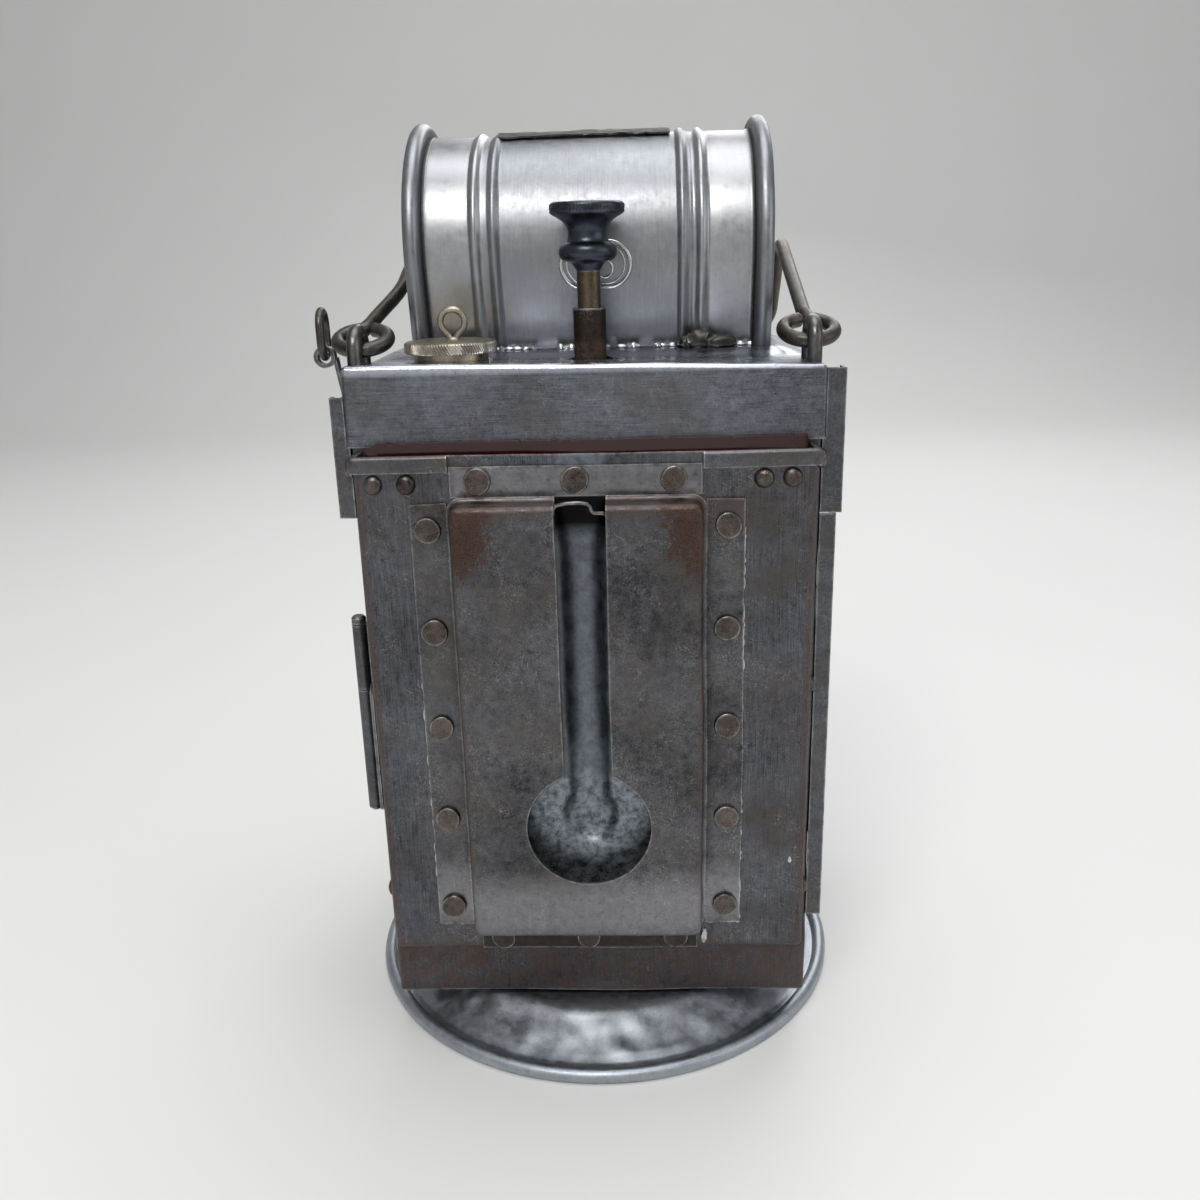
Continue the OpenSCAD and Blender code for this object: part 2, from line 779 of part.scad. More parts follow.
module cap_loop() {
    wire_r = 0.75;
    loop_r = 3.25;
    boss_h = 2.2;
    z0 = cap_z + cap_h + 0.5;
    color("goldenrod") translate(cap_place) translate([0.8, 0, z0]) {
        translate([0, 0, boss_h - wire_r + loop_r]) rotate([90, 0, 0]) ring(loop_r, wire_r);
        cylinder(h = boss_h, r = 1.3);
    }
}

// The cap's threaded plug, with a neck for the seal washer
module cap_plug() {
    color("darkgoldenrod") translate(cap_place) {
        translate([0, 0, cap_roof - plug_h]) cylinder(h = plug_h - washer_t - 0.3, r = bore_r - running);
        translate([0, 0, cap_roof - plug_h]) cylinder(h = plug_h, r = neck_r);
    }
}

module seal_washer() {
    color("#4a2c1a") translate(cap_place)
        tube(collar_r - 0.2, neck_r + running, cap_roof - washer_t - 0.1, cap_roof - 0.1);
}

module cap_collar() {
    color("silver") translate(cap_place) tube(collar_r, bore_r, case_top - 4, case_top + 1.4);
}

module storage_tube() {
    z0 = case_top - 4 - tube_len;
    color("dimgray") translate(cap_place) {
        tube(collar_r, collar_r - sheet, z0, case_top - 4);
        translate([0, 0, z0]) cylinder(h = sheet, r = collar_r);
        block([-2, -(in_y - cap_y), z0 + 10], [2, -collar_r + 0.3, z0 + 30]);
    }
}

// ---------------------------------------------------------------- bail, staples and hook
module bail() {
    r = bail_wire / 2;
    // the straight runs are a hair thinner and end inside the bends
    rod_r = r - 0.08;
    lap = 1;
    // in the arms' own plane, u runs along the rising arm and w square to it
    grip_angle = bail_rise + 4;
    grip_u = bail_reach * cos(grip_angle);
    grip_w = -bail_reach * sin(grip_angle);
    drop = (-grip_w - bail_bend_r * (1 - cos(bail_turn))) / sin(bail_turn);
    arm_u = grip_u - bail_bend_r * sin(bail_turn) - drop * cos(bail_turn);
    bend_end = [arm_u + bail_bend_r * sin(bail_turn), -bail_bend_r * (1 - cos(bail_turn))];
    straight = drop - bail_corner_r;
    corner = bend_end + straight * [cos(bail_turn), -sin(bail_turn)];
    grip_half = staple_x - bail_corner_r;
    color("#4a4038") translate([0, -bail_axis_y, axis_z]) rotate([bail_rise, 0, 0]) {
        both_sides() {
            translate([staple_x, ring_r, 0]) ring(ring_r, r);
            translate([staple_x, 2 * ring_r, 0]) rotate([-90, 0, 0])
                cylinder(h = arm_u - 2 * ring_r + lap, r = rod_r);
            translate([staple_x, arm_u, -bail_bend_r]) rotate([90, 0, 90]) rotate([0, 0, 90 - bail_turn])
                rotate_extrude(angle = bail_turn) translate([bail_bend_r, 0]) circle(r, $fn = 32);
            translate([staple_x, bend_end[0], bend_end[1]]) rotate([-bail_turn - 90, 0, 0])
                translate([0, 0, -lap]) cylinder(h = straight + 2 * lap, r = rod_r);
            translate([grip_half, corner[0], corner[1]]) rotate([-bail_turn, 0, 0])
                rotate_extrude(angle = 90) translate([bail_corner_r, 0]) circle(r, $fn = 32);
        }
        translate([-grip_half - lap, grip_u, grip_w]) rotate([0, 90, 0])
            cylinder(h = 2 * (grip_half + lap), r = rod_r);
    }
}

module bail_staples() {
    r = bail_wire / 2;
    color("#4a4a4e") both_sides() translate([staple_x, -bail_axis_y, 0]) {
        translate([0, 0, axis_z]) rotate([90, 0, 90]) rotate_extrude(angle = 180, $fn = 64)
            translate([staple_r, 0]) circle(r, $fn = 32);
        for (y = [-staple_r, staple_r]) translate([0, y, case_top])
            cylinder(h = bail_axis_h, r = r);
    }
}

module hook_eye() {
    color("#55565a") translate(hook_place) rotate([0, 0, hook_turn]) rotate([90, 0, 90]) {
        for (end = [0, 1]) translate([0, end * hook_run, 0]) rotate([0, 0, end * 180 + 180])
            rotate_extrude(angle = 180, $fn = 64) translate([hook_bow, 0]) circle(hook_wire_r, $fn = 24);
        for (side = [-hook_bow, hook_bow]) translate([side, 0, 0]) rotate([-90, 0, 0])
            cylinder(h = hook_run, r = hook_wire_r);
    }
}

module hook_strap() {
    curl_r = hook_wire_r + 0.7;
    curl_z = hook_place[2] - hook_bow;
    curl_w = 2.4;
    strap_w = 3.2;
    strap_x = -case_w / 2 - sheet;
    low_z = case_top - skirt_h + 1;
    color("gray") {
        difference() {
            translate([hook_place[0], hook_place[1] + curl_w / 2, curl_z]) rotate([90, 0, 0])
                cylinder(h = curl_w, r = curl_r + 1);
            translate([hook_place[0], hook_place[1] + curl_w, curl_z]) rotate([90, 0, 0])
                cylinder(h = 2 * curl_w, r = curl_r);
        }
        translate([0, hook_place[1], 0]) rotate([90, 0, 0]) mirror([0, 0, 1])
            linear_extrude(strap_w) polygon([
                [hook_place[0] + curl_r + 0.1, curl_z - 0.8], [hook_place[0] + curl_r + 0.9, curl_z - 0.4],
                [strap_x + sheet, case_top - 6], [strap_x + sheet, low_z],
                [strap_x, low_z], [strap_x, case_top - 6]
            ]);
    }
}

module hook_socket() {
    x_out = -wall_x - 4.4;
    y0 = -wall_y;
    y1 = -wall_y + 3;
    z0 = 162;
    z1 = case_top - 6;
    color("dimgray") difference() {
        block([x_out, y0, z0], [-wall_x, y1, z1]);
        block([-case_w / 2, y0 - 1, case_top - skirt_h], [-wall_x + 1, y1 + 1, z1 + 1]);
        block([x_out + sheet, y0 + sheet, z0 + sheet], [-case_w / 2 - sheet, y1 + 1, z1 + 1]);
    }
}

// ---------------------------------------------------------------- side door
module side_door() {
    y0 = -door_y0;
    y1 = y0 + door_w;
    bore = hinge_pin_d / 2 + running;
    color("dimgray") difference() {
        union() {
            block([-door_x - sheet, y0, door_z0], [-door_x, y1, door_z1]);
            block([-door_x - sheet, -hinge_y, knuckle_z[0]], [-door_x, y0 + 1, knuckle_z[1]]);
            translate([-hinge_x, -hinge_y, knuckle_z[0]])
                cylinder(h = knuckle_z[1] - knuckle_z[0], r = knuckle_r);
        }
        translate([-hinge_x, -hinge_y, knuckle_z[0] - 1]) cylinder(h = 40, r = bore);
    }
}

module door_pull() {
    color("gray") translate([-door_x - sheet, -door_y0 + door_w - door_lap, pull_z]) {
        rotate([0, -90, 0]) cylinder(h = 1, r = 3);
        rotate([0, -90, 0]) cylinder(h = 3, r = 1.2);
        translate([-3, 0, 0]) rotate([0, -90, 0]) cylinder(h = 1.6, r = 3.2);
    }
}

module hinge_leaf() {
    bore = hinge_pin_d / 2 + seat;
    color("dimgray") difference() {
        union() {
            translate([-hinge_x, -hinge_y, leaf_z[0]])
                cylinder(h = leaf_z[1] - leaf_z[0], r = knuckle_r);
            block([-wall_x - 0.9, -wall_y, leaf_z[0]], [-wall_x, -hinge_y + 1.3, leaf_z[1]]);
        }
        translate([-hinge_x, -hinge_y, leaf_z[0] - 1]) cylinder(h = 60, r = bore);
    }
}

module hinge_pin() {
    r = hinge_pin_d / 2;
    z1 = knuckle_z[1] + gap;
    color("gray") translate([-hinge_x, -hinge_y, 0]) {
        translate([0, 0, leaf_z[0] - 0.8]) cylinder(h = z1 - leaf_z[0] + 0.8 + eps, r = r);
        translate([0, 0, z1]) cylinder(h = 1.6, r = knuckle_r);
        translate([0, 0, z1 + 1.6]) cylinder(h = 0.6, r1 = knuckle_r, r2 = knuckle_r - 0.6);
    }
}

// ---------------------------------------------------------------- right side guides and blind
module blind_guides() {
    color("dimgray") for (side = [-1, 1]) {
        y_out = side * guide_y;
        y_web = side * (guide_y - guide_t);
        y_lip = side * (guide_y - lip_w);
        block([wall_x, min(y_out, y_web), guide_z[0]], [guide_x, max(y_out, y_web), guide_z[1]]);
        block([guide_x - lip_t, min(y_out, y_lip), guide_z[0]], [guide_x, max(y_out, y_lip), guide_z[1]]);
    }
}

module guide_mouth() {
    x_out = guide_x + 1.4;
    color("dimgray") for (side = [-1, 1]) {
        y_out = side * guide_y;
        y_web = side * (guide_y - guide_t);
        y_lip = side * (guide_y - lip_w);
        block([case_w / 2, min(y_out, y_web), mouth_z[0]], [x_out, max(y_out, y_web), mouth_z[1]]);
        block([x_out - lip_t, min(y_out, y_lip), mouth_z[0]], [x_out, max(y_out, y_lip), mouth_z[1]]);
        block([wall_x, min(y_out, y_web), mouth_z[0]], [case_w / 2 + eps, max(y_out, y_web), case_top - skirt_h]);
    }
}

module blind_stop() {
    half = guide_y - lip_w - seat;
    color("dimgray") block([wall_x, -half, blind_z[0] - gap - 2.7], [guide_x, half, blind_z[0] - gap]);
}

module side_blind() {
    half = guide_y - guide_t - gap;
    tab_y = 12;
    x1 = blind_x + sheet;
    color("dimgray") {
        block([blind_x, -half, blind_z[0]], [x1, half, blind_z[1]]);
        block([blind_x, -tab_y, blind_z[1] - eps], [x1, tab_y, blind_z[1] + 5]);
        block([blind_x, -tab_y, blind_z[1] + 5 - eps], [x1 + 4, tab_y, blind_z[1] + 5 + sheet]);
    }
}

module side_window() {
    color([0.8, 0.85, 0.85, 0.4])
        block([in_x - 2, -window_y - 3, window_z[0] - 3], [in_x, window_y + 3, window_z[1] + 3]);
}

// ---------------------------------------------------------------- lens
module lens() {
    r = lens_d / 2;
    edge_t = 4;
    dome_h = 9;
    dome_r = (r * r + dome_h * dome_h) / (2 * dome_h);
    y0 = wall_y + seat;
    color([0.85, 0.9, 0.9, 0.5]) translate([0, y0, lens_z]) rotate([-90, 0, 0]) {
        cylinder(h = edge_t, r = r, $fn = 96);
        intersection() {
            translate([0, 0, edge_t - eps]) cylinder(h = dome_h + 1, r = r, $fn = 96);
            translate([0, 0, edge_t + dome_h - dome_r]) sphere(dome_r, $fn = 96);
        }
    }
}

module lens_bezel() {
    r = lens_d / 2 + 0.2;
    lip_y = 7.2;
    color("dimgray") translate([0, wall_y, lens_z]) rotate([-90, 0, 0]) rotate_extrude($fn = 96) polygon([
        [r, 0], [r + 6, 0], [r + 6, sheet], [r + 1.4, sheet], [r + 1.4, lip_y + 1.2], [r - 3.6, lip_y + 1.2],
        [r - 3.6, lip_y], [r, lip_y]
    ]);
}

// ---------------------------------------------------------------- burner
module oil_font() {
    z0 = case_base + sheet;
    color("gray") translate([0, burner_y, z0]) difference() {
        cylinder(h = font_h, r = font_r);
        translate([0, 0, sheet]) cylinder(h = font_h - 2 * sheet, r = font_r - sheet);
        cylinder(h = font_h + 1, r = 7);
    }
}

module burner_collar() {
    color("darkgoldenrod") translate([0, burner_y, 0])
        tube(14, 8.2, font_top, font_top + 7);
}

module wick_tube() {
    z0 = font_top - 12;
    half = [wick_w / 2 + 0.4, wick_t / 2 + 0.4];
    wall = 0.8;
    boss_x = [-14, -half[0] - wall + eps];
    color("darkgoldenrod") translate([0, burner_y, 0]) difference() {
        union() {
            block([-half[0] - wall, -half[1] - wall, font_top + 7], [half[0] + wall, half[1] + wall, wheel_z + 32]);
            translate([0, 0, font_top + 7]) cylinder(h = 2, r = 12);
            block([boss_x[0], -half[1] - wall, wheel_z - 3], [boss_x[1], wheel_y - burner_y, wheel_z + 3]);
            translate([boss_x[0], wheel_y - burner_y, wheel_z]) rotate([0, 90, 0])
                cylinder(h = boss_x[1] - boss_x[0], r = 3);
        }
        block([-half[0], -half[1], z0], [half[0], half[1], wheel_z + 33]);
        block([-4.5, 0, wheel_z - 4.5], [4.5, 20, wheel_z + 4.5]);
        translate([-40, wheel_y - burner_y, wheel_z]) rotate([0, 90, 0]) cylinder(h = 60, r = shaft_r + running);
    }
}

module burner_cone() {
    z0 = wheel_z + 10;
    color("goldenrod") translate([0, burner_y, 0]) rotate_extrude($fn = 64) polygon([
        [15, z0], [16, z0], [16, z0 + 3], [10, z0 + 14], [9, z0 + 14], [15, z0 + 2.8]
    ]);
    color("goldenrod") translate([0, burner_y, 0]) for (x = [-1, 1])
        block([min(x * 7.25, x * 15.3), -1.5, z0 + 0.5], [max(x * 7.25, x * 15.3), 1.5, z0 + 1.5]);
}

module wick() {
    color("ivory") translate([0, burner_y, 0])
        block([-wick_w / 2, -wick_t / 2, case_base + 2 * sheet + 5], [wick_w / 2, wick_t / 2, wheel_z + 35]);
}

module wick_wheel() {
    color("darkgoldenrod") translate([0, wheel_y, wheel_z]) rotate([0, 90, 0]) {
        translate([0, 0, -34]) cylinder(h = 38, r = shaft_r);
        translate([0, 0, -3.5]) cylinder(h = 7, r = wheel_r);
        translate([0, 0, -36]) cylinder(h = 2.4, r = 7);
    }
}

module reflector() {
    depth = 8;
    dish_r = (reflector_r * reflector_r + depth * depth) / (2 * depth);
    apex_y = -in_y + 4;
    color("silver") translate([0, apex_y, lens_z]) rotate([-90, 0, 0]) {
        intersection() {
            difference() {
                translate([0, 0, dish_r]) sphere(dish_r, $fn = 96);
                translate([0, 0, dish_r]) sphere(dish_r - sheet, $fn = 96);
            }
            translate([0, 0, -1]) cylinder(h = depth + 1, r = reflector_r + 4, $fn = 96);
        }
        translate([0, 0, -4]) cylinder(h = 4.3, r = 4);
    }
}

foot();
floor_plate();
front_wall();
rear_wall();
left_wall();
right_wall();
top_cover();
pocket_plate();
pocket_hems();
pocket_rivets();
slide_glass();
hanger_bracket();
bracket_rivets();
drum_shell();
drum_ends();
vent_cover();
oval_plate();
key_knob();
key_rod();
key_sleeve();
key_bridge();
key_yoke();
spring_seat();
return_spring();
shutter();
slotted_screen();
shutter_guides();
brass_cap();
cap_loop();
cap_plug();
seal_washer();
cap_collar();
storage_tube();
bail();
bail_staples();
hook_eye();
hook_strap();
hook_socket();
side_door();
door_pull();
hinge_leaf();
hinge_pin();
blind_guides();
guide_mouth();
blind_stop();
side_blind();
side_window();
lens();
lens_bezel();
oil_font();
burner_collar();
burner_cone();
wick_tube();
wick();
wick_wheel();
reflector();
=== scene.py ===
"""The looks of the morse signal lamp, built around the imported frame.

Shapes are drawn in millimetres and turned to metres by MM. Places come from the frame's nodes.
"""
import json
import math
import random

import bmesh
import bpy
from mathutils import Matrix, Vector, noise
from mathutils.geometry import tessellate_polygon


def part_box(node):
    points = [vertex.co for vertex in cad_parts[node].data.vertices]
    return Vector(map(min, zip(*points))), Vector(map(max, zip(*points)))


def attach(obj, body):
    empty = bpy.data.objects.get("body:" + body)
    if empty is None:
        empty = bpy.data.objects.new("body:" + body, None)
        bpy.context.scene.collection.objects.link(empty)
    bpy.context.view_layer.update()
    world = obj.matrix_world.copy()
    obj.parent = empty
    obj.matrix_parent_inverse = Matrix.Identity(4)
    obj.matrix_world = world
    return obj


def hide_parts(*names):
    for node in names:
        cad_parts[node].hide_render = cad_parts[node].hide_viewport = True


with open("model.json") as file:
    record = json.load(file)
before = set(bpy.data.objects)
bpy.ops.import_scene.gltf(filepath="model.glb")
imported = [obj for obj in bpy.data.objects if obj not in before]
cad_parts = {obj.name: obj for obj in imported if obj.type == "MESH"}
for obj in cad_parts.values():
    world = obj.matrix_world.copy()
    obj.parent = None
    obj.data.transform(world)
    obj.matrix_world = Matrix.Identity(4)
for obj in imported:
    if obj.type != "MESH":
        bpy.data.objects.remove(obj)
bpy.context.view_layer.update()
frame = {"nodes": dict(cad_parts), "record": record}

MM = 0.001
SHEET = 0.8            # thickness of the tinned sheet
CUT_EDGE = 0.12        # rounding of a cut sheet's edges
WELD = 0.002           # points nearer than this are one point
rng = random.Random(11)


# ------------------------------------------------------------------ places and routes
class Place:
    """A CAD node's box at rest, in millimetres."""

    def __init__(self, node):
        low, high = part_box(node)
        self.x0, self.y0, self.z0 = (c / MM for c in low)
        self.x1, self.y1, self.z1 = (c / MM for c in high)
        self.x, self.y, self.z = ((a + b) / 2 / MM for a, b in zip(low, high))


def from_above(a, b, h):
    return Vector((a, b, h))


def from_front(a, b, h):
    return Vector((a, -h, b))


def from_left(a, b, h):
    return Vector((-h, -a, b))


def from_right(a, b, h):
    return Vector((h, a, b))


def turned(v, angle):
    c, s = math.cos(angle), math.sin(angle)
    return Vector((v.x * c - v.y * s, v.x * s + v.y * c))


def rounded(corners, radius, closed=False, step=15.0):
    """Points along straight runs that are joined by round corners."""
    points = []
    count = len(corners)
    for i, corner in enumerate(corners):
        here = Vector(corner)
        if not closed and i in (0, count - 1):
            points.append(here)
            continue
        back = (Vector(corners[i - 1]) - here).normalized()
        ahead = (Vector(corners[(i + 1) % count]) - here).normalized()
        turn = math.pi - back.angle(ahead)
        side = 1 if back.x * ahead.y - back.y * ahead.x < 0 else -1
        centre = here + (back + ahead).normalized() * radius / math.cos(turn / 2)
        start = here + back * radius * math.tan(turn / 2)
        steps = max(2, round(math.degrees(turn) / step))
        for k in range(steps + 1):
            points.append(centre + turned(start - centre, side * turn * k / steps))
    return points


def degrees(start, stop, step):
    """Evenly spaced angles, given in degrees and returned in radians."""
    return [math.radians(d) for d in range(start, stop, step)]


def arc(centre, radius, start, end, steps):
    """Points on an arc, its angles in degrees."""
    points = []
    for k in range(steps + 1):
        angle = math.radians(start + (end - start) * k / steps)
        points.append(Vector(centre) + radius * Vector((math.cos(angle), math.sin(angle))))
    return points


def outward(points, closed=False):
    """For each point of a route, the direction to its right."""
    result = []
    last = len(points) - 1
    for i, p in enumerate(points):
        before = points[i - 1] if closed or i > 0 else p
        after = points[(i + 1) % len(points)] if closed or i < last else p
        t = ((p - before).normalized() + (after - p).normalized()).normalized()
        result.append(Vector((t.y, -t.x)))
    return result


def spread(low, high, pitch):
    """Evenly spaced values between low and high, without the ends."""
    count = max(1, round((high - low) / pitch))
    return [low + (high - low) * k / count for k in range(1, count)]


def soft_step(x, low, high):
    t = min(1.0, max(0.0, (x - low) / (high - low)))
    return t * t * (3 - 2 * t)


def fade(x, low, high):
    return 1 - soft_step(x, low, high)


def uneven(*place):
    """Smooth noise at a place, about -1 to 1."""
    return noise.noise(Vector(place))


# ------------------------------------------------------------------ mesh building
def shift(p):
    """Noise in three directions. Built of single values, which are the same in each run."""
    return Vector([noise.noise(p + Vector(away)) for away in
                   ((9.3, -1.5, -8.0), (0.0, 0.0, 0.0), (6.3, 0.2, -2.7))])


def dents(p):
    """A small shift in millimetres, the same for all sheet near a point, as hand-worked tin has."""
    q = Vector(p)
    broad = shift(q / 38.0) * 0.34
    fine = shift(q / 11.0 + Vector((31.0, 7.0, 3.0))) * 0.10
    return broad + fine


def box(x0, y0, x1, y1):
    return [(x0, y0), (x1, y0), (x1, y1), (x0, y1)]


def slice_up(bm, cuts_a=(), cuts_b=()):
    """Cuts a drawing along lines, so that it has points enough to be bent."""
    for axis, cuts in ((0, cuts_a), (1, cuts_b)):
        for cut in cuts:
            point, normal = Vector(), Vector()
            point[axis], normal[axis] = cut, 1
            geom = bm.verts[:] + bm.edges[:] + bm.faces[:]
            bmesh.ops.bisect_plane(bm, geom=geom, dist=1e-4, plane_co=point, plane_no=normal)


def fill(bm, loops):
    """Fills loops of vertices, the first one outside and the rest holes, facing up."""
    flat = [v for loop in loops for v in loop]
    for tri in tessellate_polygon([[v.co for v in loop] for loop in loops]):
        face = bm.faces.new([flat[i] for i in tri])
        face.normal_update()
        if face.normal.z < 0:
            face.normal_flip()


def blank(outline, holes=(), cuts_a=(), cuts_b=(), height=0.0):
    """A flat sheet with holes."""
    bm = bmesh.new()
    fill(bm, [[bm.verts.new((p[0], p[1], height)) for p in loop] for loop in (outline, *holes)])
    slice_up(bm, cuts_a, cuts_b)
    return bm


def skirt_rows(bm, route, profile, closed):
    """Rows of faces along a route. The profile's pairs are (outward, height), from the low edge up."""
    rows = []
    for p, n in zip(route, outward(route, closed)):
        rows.append([bm.verts.new((p.x + n.x * off, p.y + n.y * off, h)) for off, h in profile])
    ends = rows[1:] + rows[:1] if closed else rows[1:]
    for a, b in zip(rows, ends):
        for j in range(len(profile) - 1):
            bm.faces.new((a[j], b[j], b[j + 1], a[j + 1]))
    return rows


def pan(route, profile, closed=True, extra=(), holes=(), cuts_a=(), cuts_b=()):
    """A pressed sheet: a skirt along its route, and a flat face inside the skirt's upper edge."""
    bm = bmesh.new()
    rows = skirt_rows(bm, route, profile, closed)
    level = profile[-1][1]
    outer = [row[-1] for row in rows] + [bm.verts.new((p[0], p[1], level)) for p in extra]
    fill(bm, [outer] + [[bm.verts.new((p[0], p[1], level)) for p in hole] for hole in holes])
    slice_up(bm, cuts_a, cuts_b)
    return bm


def fold_profile(base, level, radius, steps=5):
    """A wall that rises from base and folds inward to level."""
    corner = arc((-radius, level - radius), radius, 0, 90, steps)
    return [(0.0, base)] + corner


def wrap(bm, route):
    """Bends a flat drawing round a route seen from above: a runs along the route and b is the height."""
    lengths = [0.0]
    for p, q in zip(route, route[1:]):
        lengths.append(lengths[-1] + (q - p).length)
    for v in bm.verts:
        s = min(max(v.co.x, 0.0), lengths[-1])
        i = max(k for k in range(len(lengths) - 1) if lengths[k] <= s + 1e-9)
        t = (s - lengths[i]) / (lengths[i + 1] - lengths[i])
        p = route[i].lerp(route[i + 1], t)
        v.co = (p.x, p.y, v.co.y)
    return bm


def route_cuts(route, pitch):
    """Where a flat drawing is cut so that it can follow a route."""
    at, cuts = 0.0, []
    for p, q in zip(route, route[1:]):
        step = (q - p).length
        cuts += [at + c for c in spread(0, step, pitch)] + [at + step]
        at += step
    return cuts[:-1]


def lathe(bm, profile, segments=96, centre=(0.0, 0.0), shape=None, tilt=None):
    """Turns (radius, height) pairs about the drawing's height axis. shape(angle, radius, height)
    may move a point."""
    rows = []
    for r, h in profile:
        if r < 1e-6:
            rows.append([bm.verts.new((0, 0, h))])
            continue
        row = []
        for k in range(segments):
            angle = 2 * math.pi * k / segments
            radius, height = shape(angle, r, h) if shape else (r, h)
            row.append(bm.verts.new((radius * math.cos(angle), radius * math.sin(angle), height)))
        rows.append(row)
    for a, b in zip(rows, rows[1:]):
        for k in range(segments):
            n = (k + 1) % segments
            if len(a) == 1 and len(b) > 1:
                bm.faces.new((a[0], b[k], b[n]))
            elif len(b) == 1 and len(a) > 1:
                bm.faces.new((a[k], a[n], b[0]))
            elif len(a) > 1:
                bm.faces.new((a[k], a[n], b[n], b[k]))
    move = Matrix.Translation((centre[0], centre[1], 0.0))
    for row in rows:
        for v in row:
            v.co = move @ ((tilt @ v.co) if tilt else v.co)
    return rows


def sweep(bm, points, radius, sides=20, closed=False, ends=True, wobble=0.0):
    """A round wire through points in space."""
    points = [Vector(p) for p in points]
    count = len(points)
    tangents = []
    for i in range(count):
        before = points[i - 1] if closed or i > 0 else points[i]
        after = points[(i + 1) % count] if closed or i < count - 1 else points[i]
        tangents.append((after - before).normalized())
    side = tangents[0].orthogonal().normalized()
    frames = []
    for i, t in enumerate(tangents):
        if i:
            side = (tangents[i - 1].rotation_difference(t) @ side).normalized()
        side = (side - t * side.dot(t)).normalized()
        frames.append((side.copy(), t.cross(side)))
    twist = 0.0
    if closed:
        back = tangents[-1].rotation_difference(tangents[0]) @ frames[-1][0]
        twist = math.atan2(back.dot(frames[0][1]), back.dot(frames[0][0]))
    rows = []
    for i, (p, (u, v)) in enumerate(zip(points, frames)):
        r = radius[i] if isinstance(radius, (list, tuple)) else radius
        r *= 1 + wobble * noise.noise(p / 5.0)
        turn = -twist * i / count
        row = []
        for k in range(sides):
            angle = 2 * math.pi * k / sides + turn
            row.append(bm.verts.new(p + (u * math.cos(angle) + v * math.sin(angle)) * r))
        rows.append(row)
    pairs = list(zip(rows, rows[1:])) + ([(rows[-1], rows[0])] if closed else [])
    for a, b in pairs:
        for k in range(sides):
            n = (k + 1) % sides
            bm.faces.new((a[k], a[n], b[n], b[k]))
    if ends and not closed:
        for row, t, p in ((rows[0], -tangents[0], points[0]), (rows[-1], tangents[-1], points[-1])):
            r = (row[0].co - p).length
            ring = [bm.verts.new(p + (v.co - p) * 0.8 + t * r * 0.3) for v in row]
            for k in range(sides):
                n = (k + 1) % sides
                quad = (row[k], row[n], ring[n], ring[k])
                bm.faces.new(quad if row is rows[-1] else quad[::-1])
            bm.faces.new(ring if row is rows[-1] else ring[::-1])
    return rows


def drawn(name, bm):
    """Puts a drawing in the scene as an object."""
    mesh = bpy.data.meshes.new(name)
    bm.to_mesh(mesh)
    bm.free()
    return placed(name, mesh)


def placed(name, data):
    obj = bpy.data.objects.new(name, data)
    bpy.context.scene.collection.objects.link(obj)
    return obj


def piece(name, bm, body, slot, stands_for=(), view=from_above, relief=None, worn=0.0,
          sheet=0.0, rim=0.0, sharp=38.0, look=None):
    """Turns a drawing into a piece of the lamp, which moves with its body. worn is its share of
    the dents, sheet its thickness and rim the rounding of its edges. Its looks are the slot's, or
    those of a finish of its own."""
    bmesh.ops.remove_doubles(bm, verts=bm.verts, dist=WELD)
    for v in bm.verts:
        p = view(*(relief(*v.co) if relief else v.co))
        v.co = (p + dents(p) * worn) * MM
    obj = drawn(name, bm)
    if sheet:
        solid = obj.modifiers.new("thickness", "SOLIDIFY")
        solid.thickness = sheet * MM
        solid.offset = -1
        solid.use_quality_normals = True
    if rim:
        bevel = obj.modifiers.new("rims", "BEVEL")
        bevel.width = rim * MM
        bevel.segments = 2
        bevel.angle_limit = math.radians(55)
    if sheet or rim:
        flat = obj.data
        final = obj.evaluated_get(bpy.context.evaluated_depsgraph_get())
        final = bpy.data.meshes.new_from_object(final)
        obj.modifiers.clear()
        obj.data = final
        bpy.data.meshes.remove(flat)
    obj.data.shade_smooth()
    obj.data.set_sharp_from_angle(angle=math.radians(sharp))
    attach(obj, body)
    if stands_for:
        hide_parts(*stands_for)
    obj.data.materials.clear()
    obj.data.materials.append(MATERIALS[look or slot])
    return obj


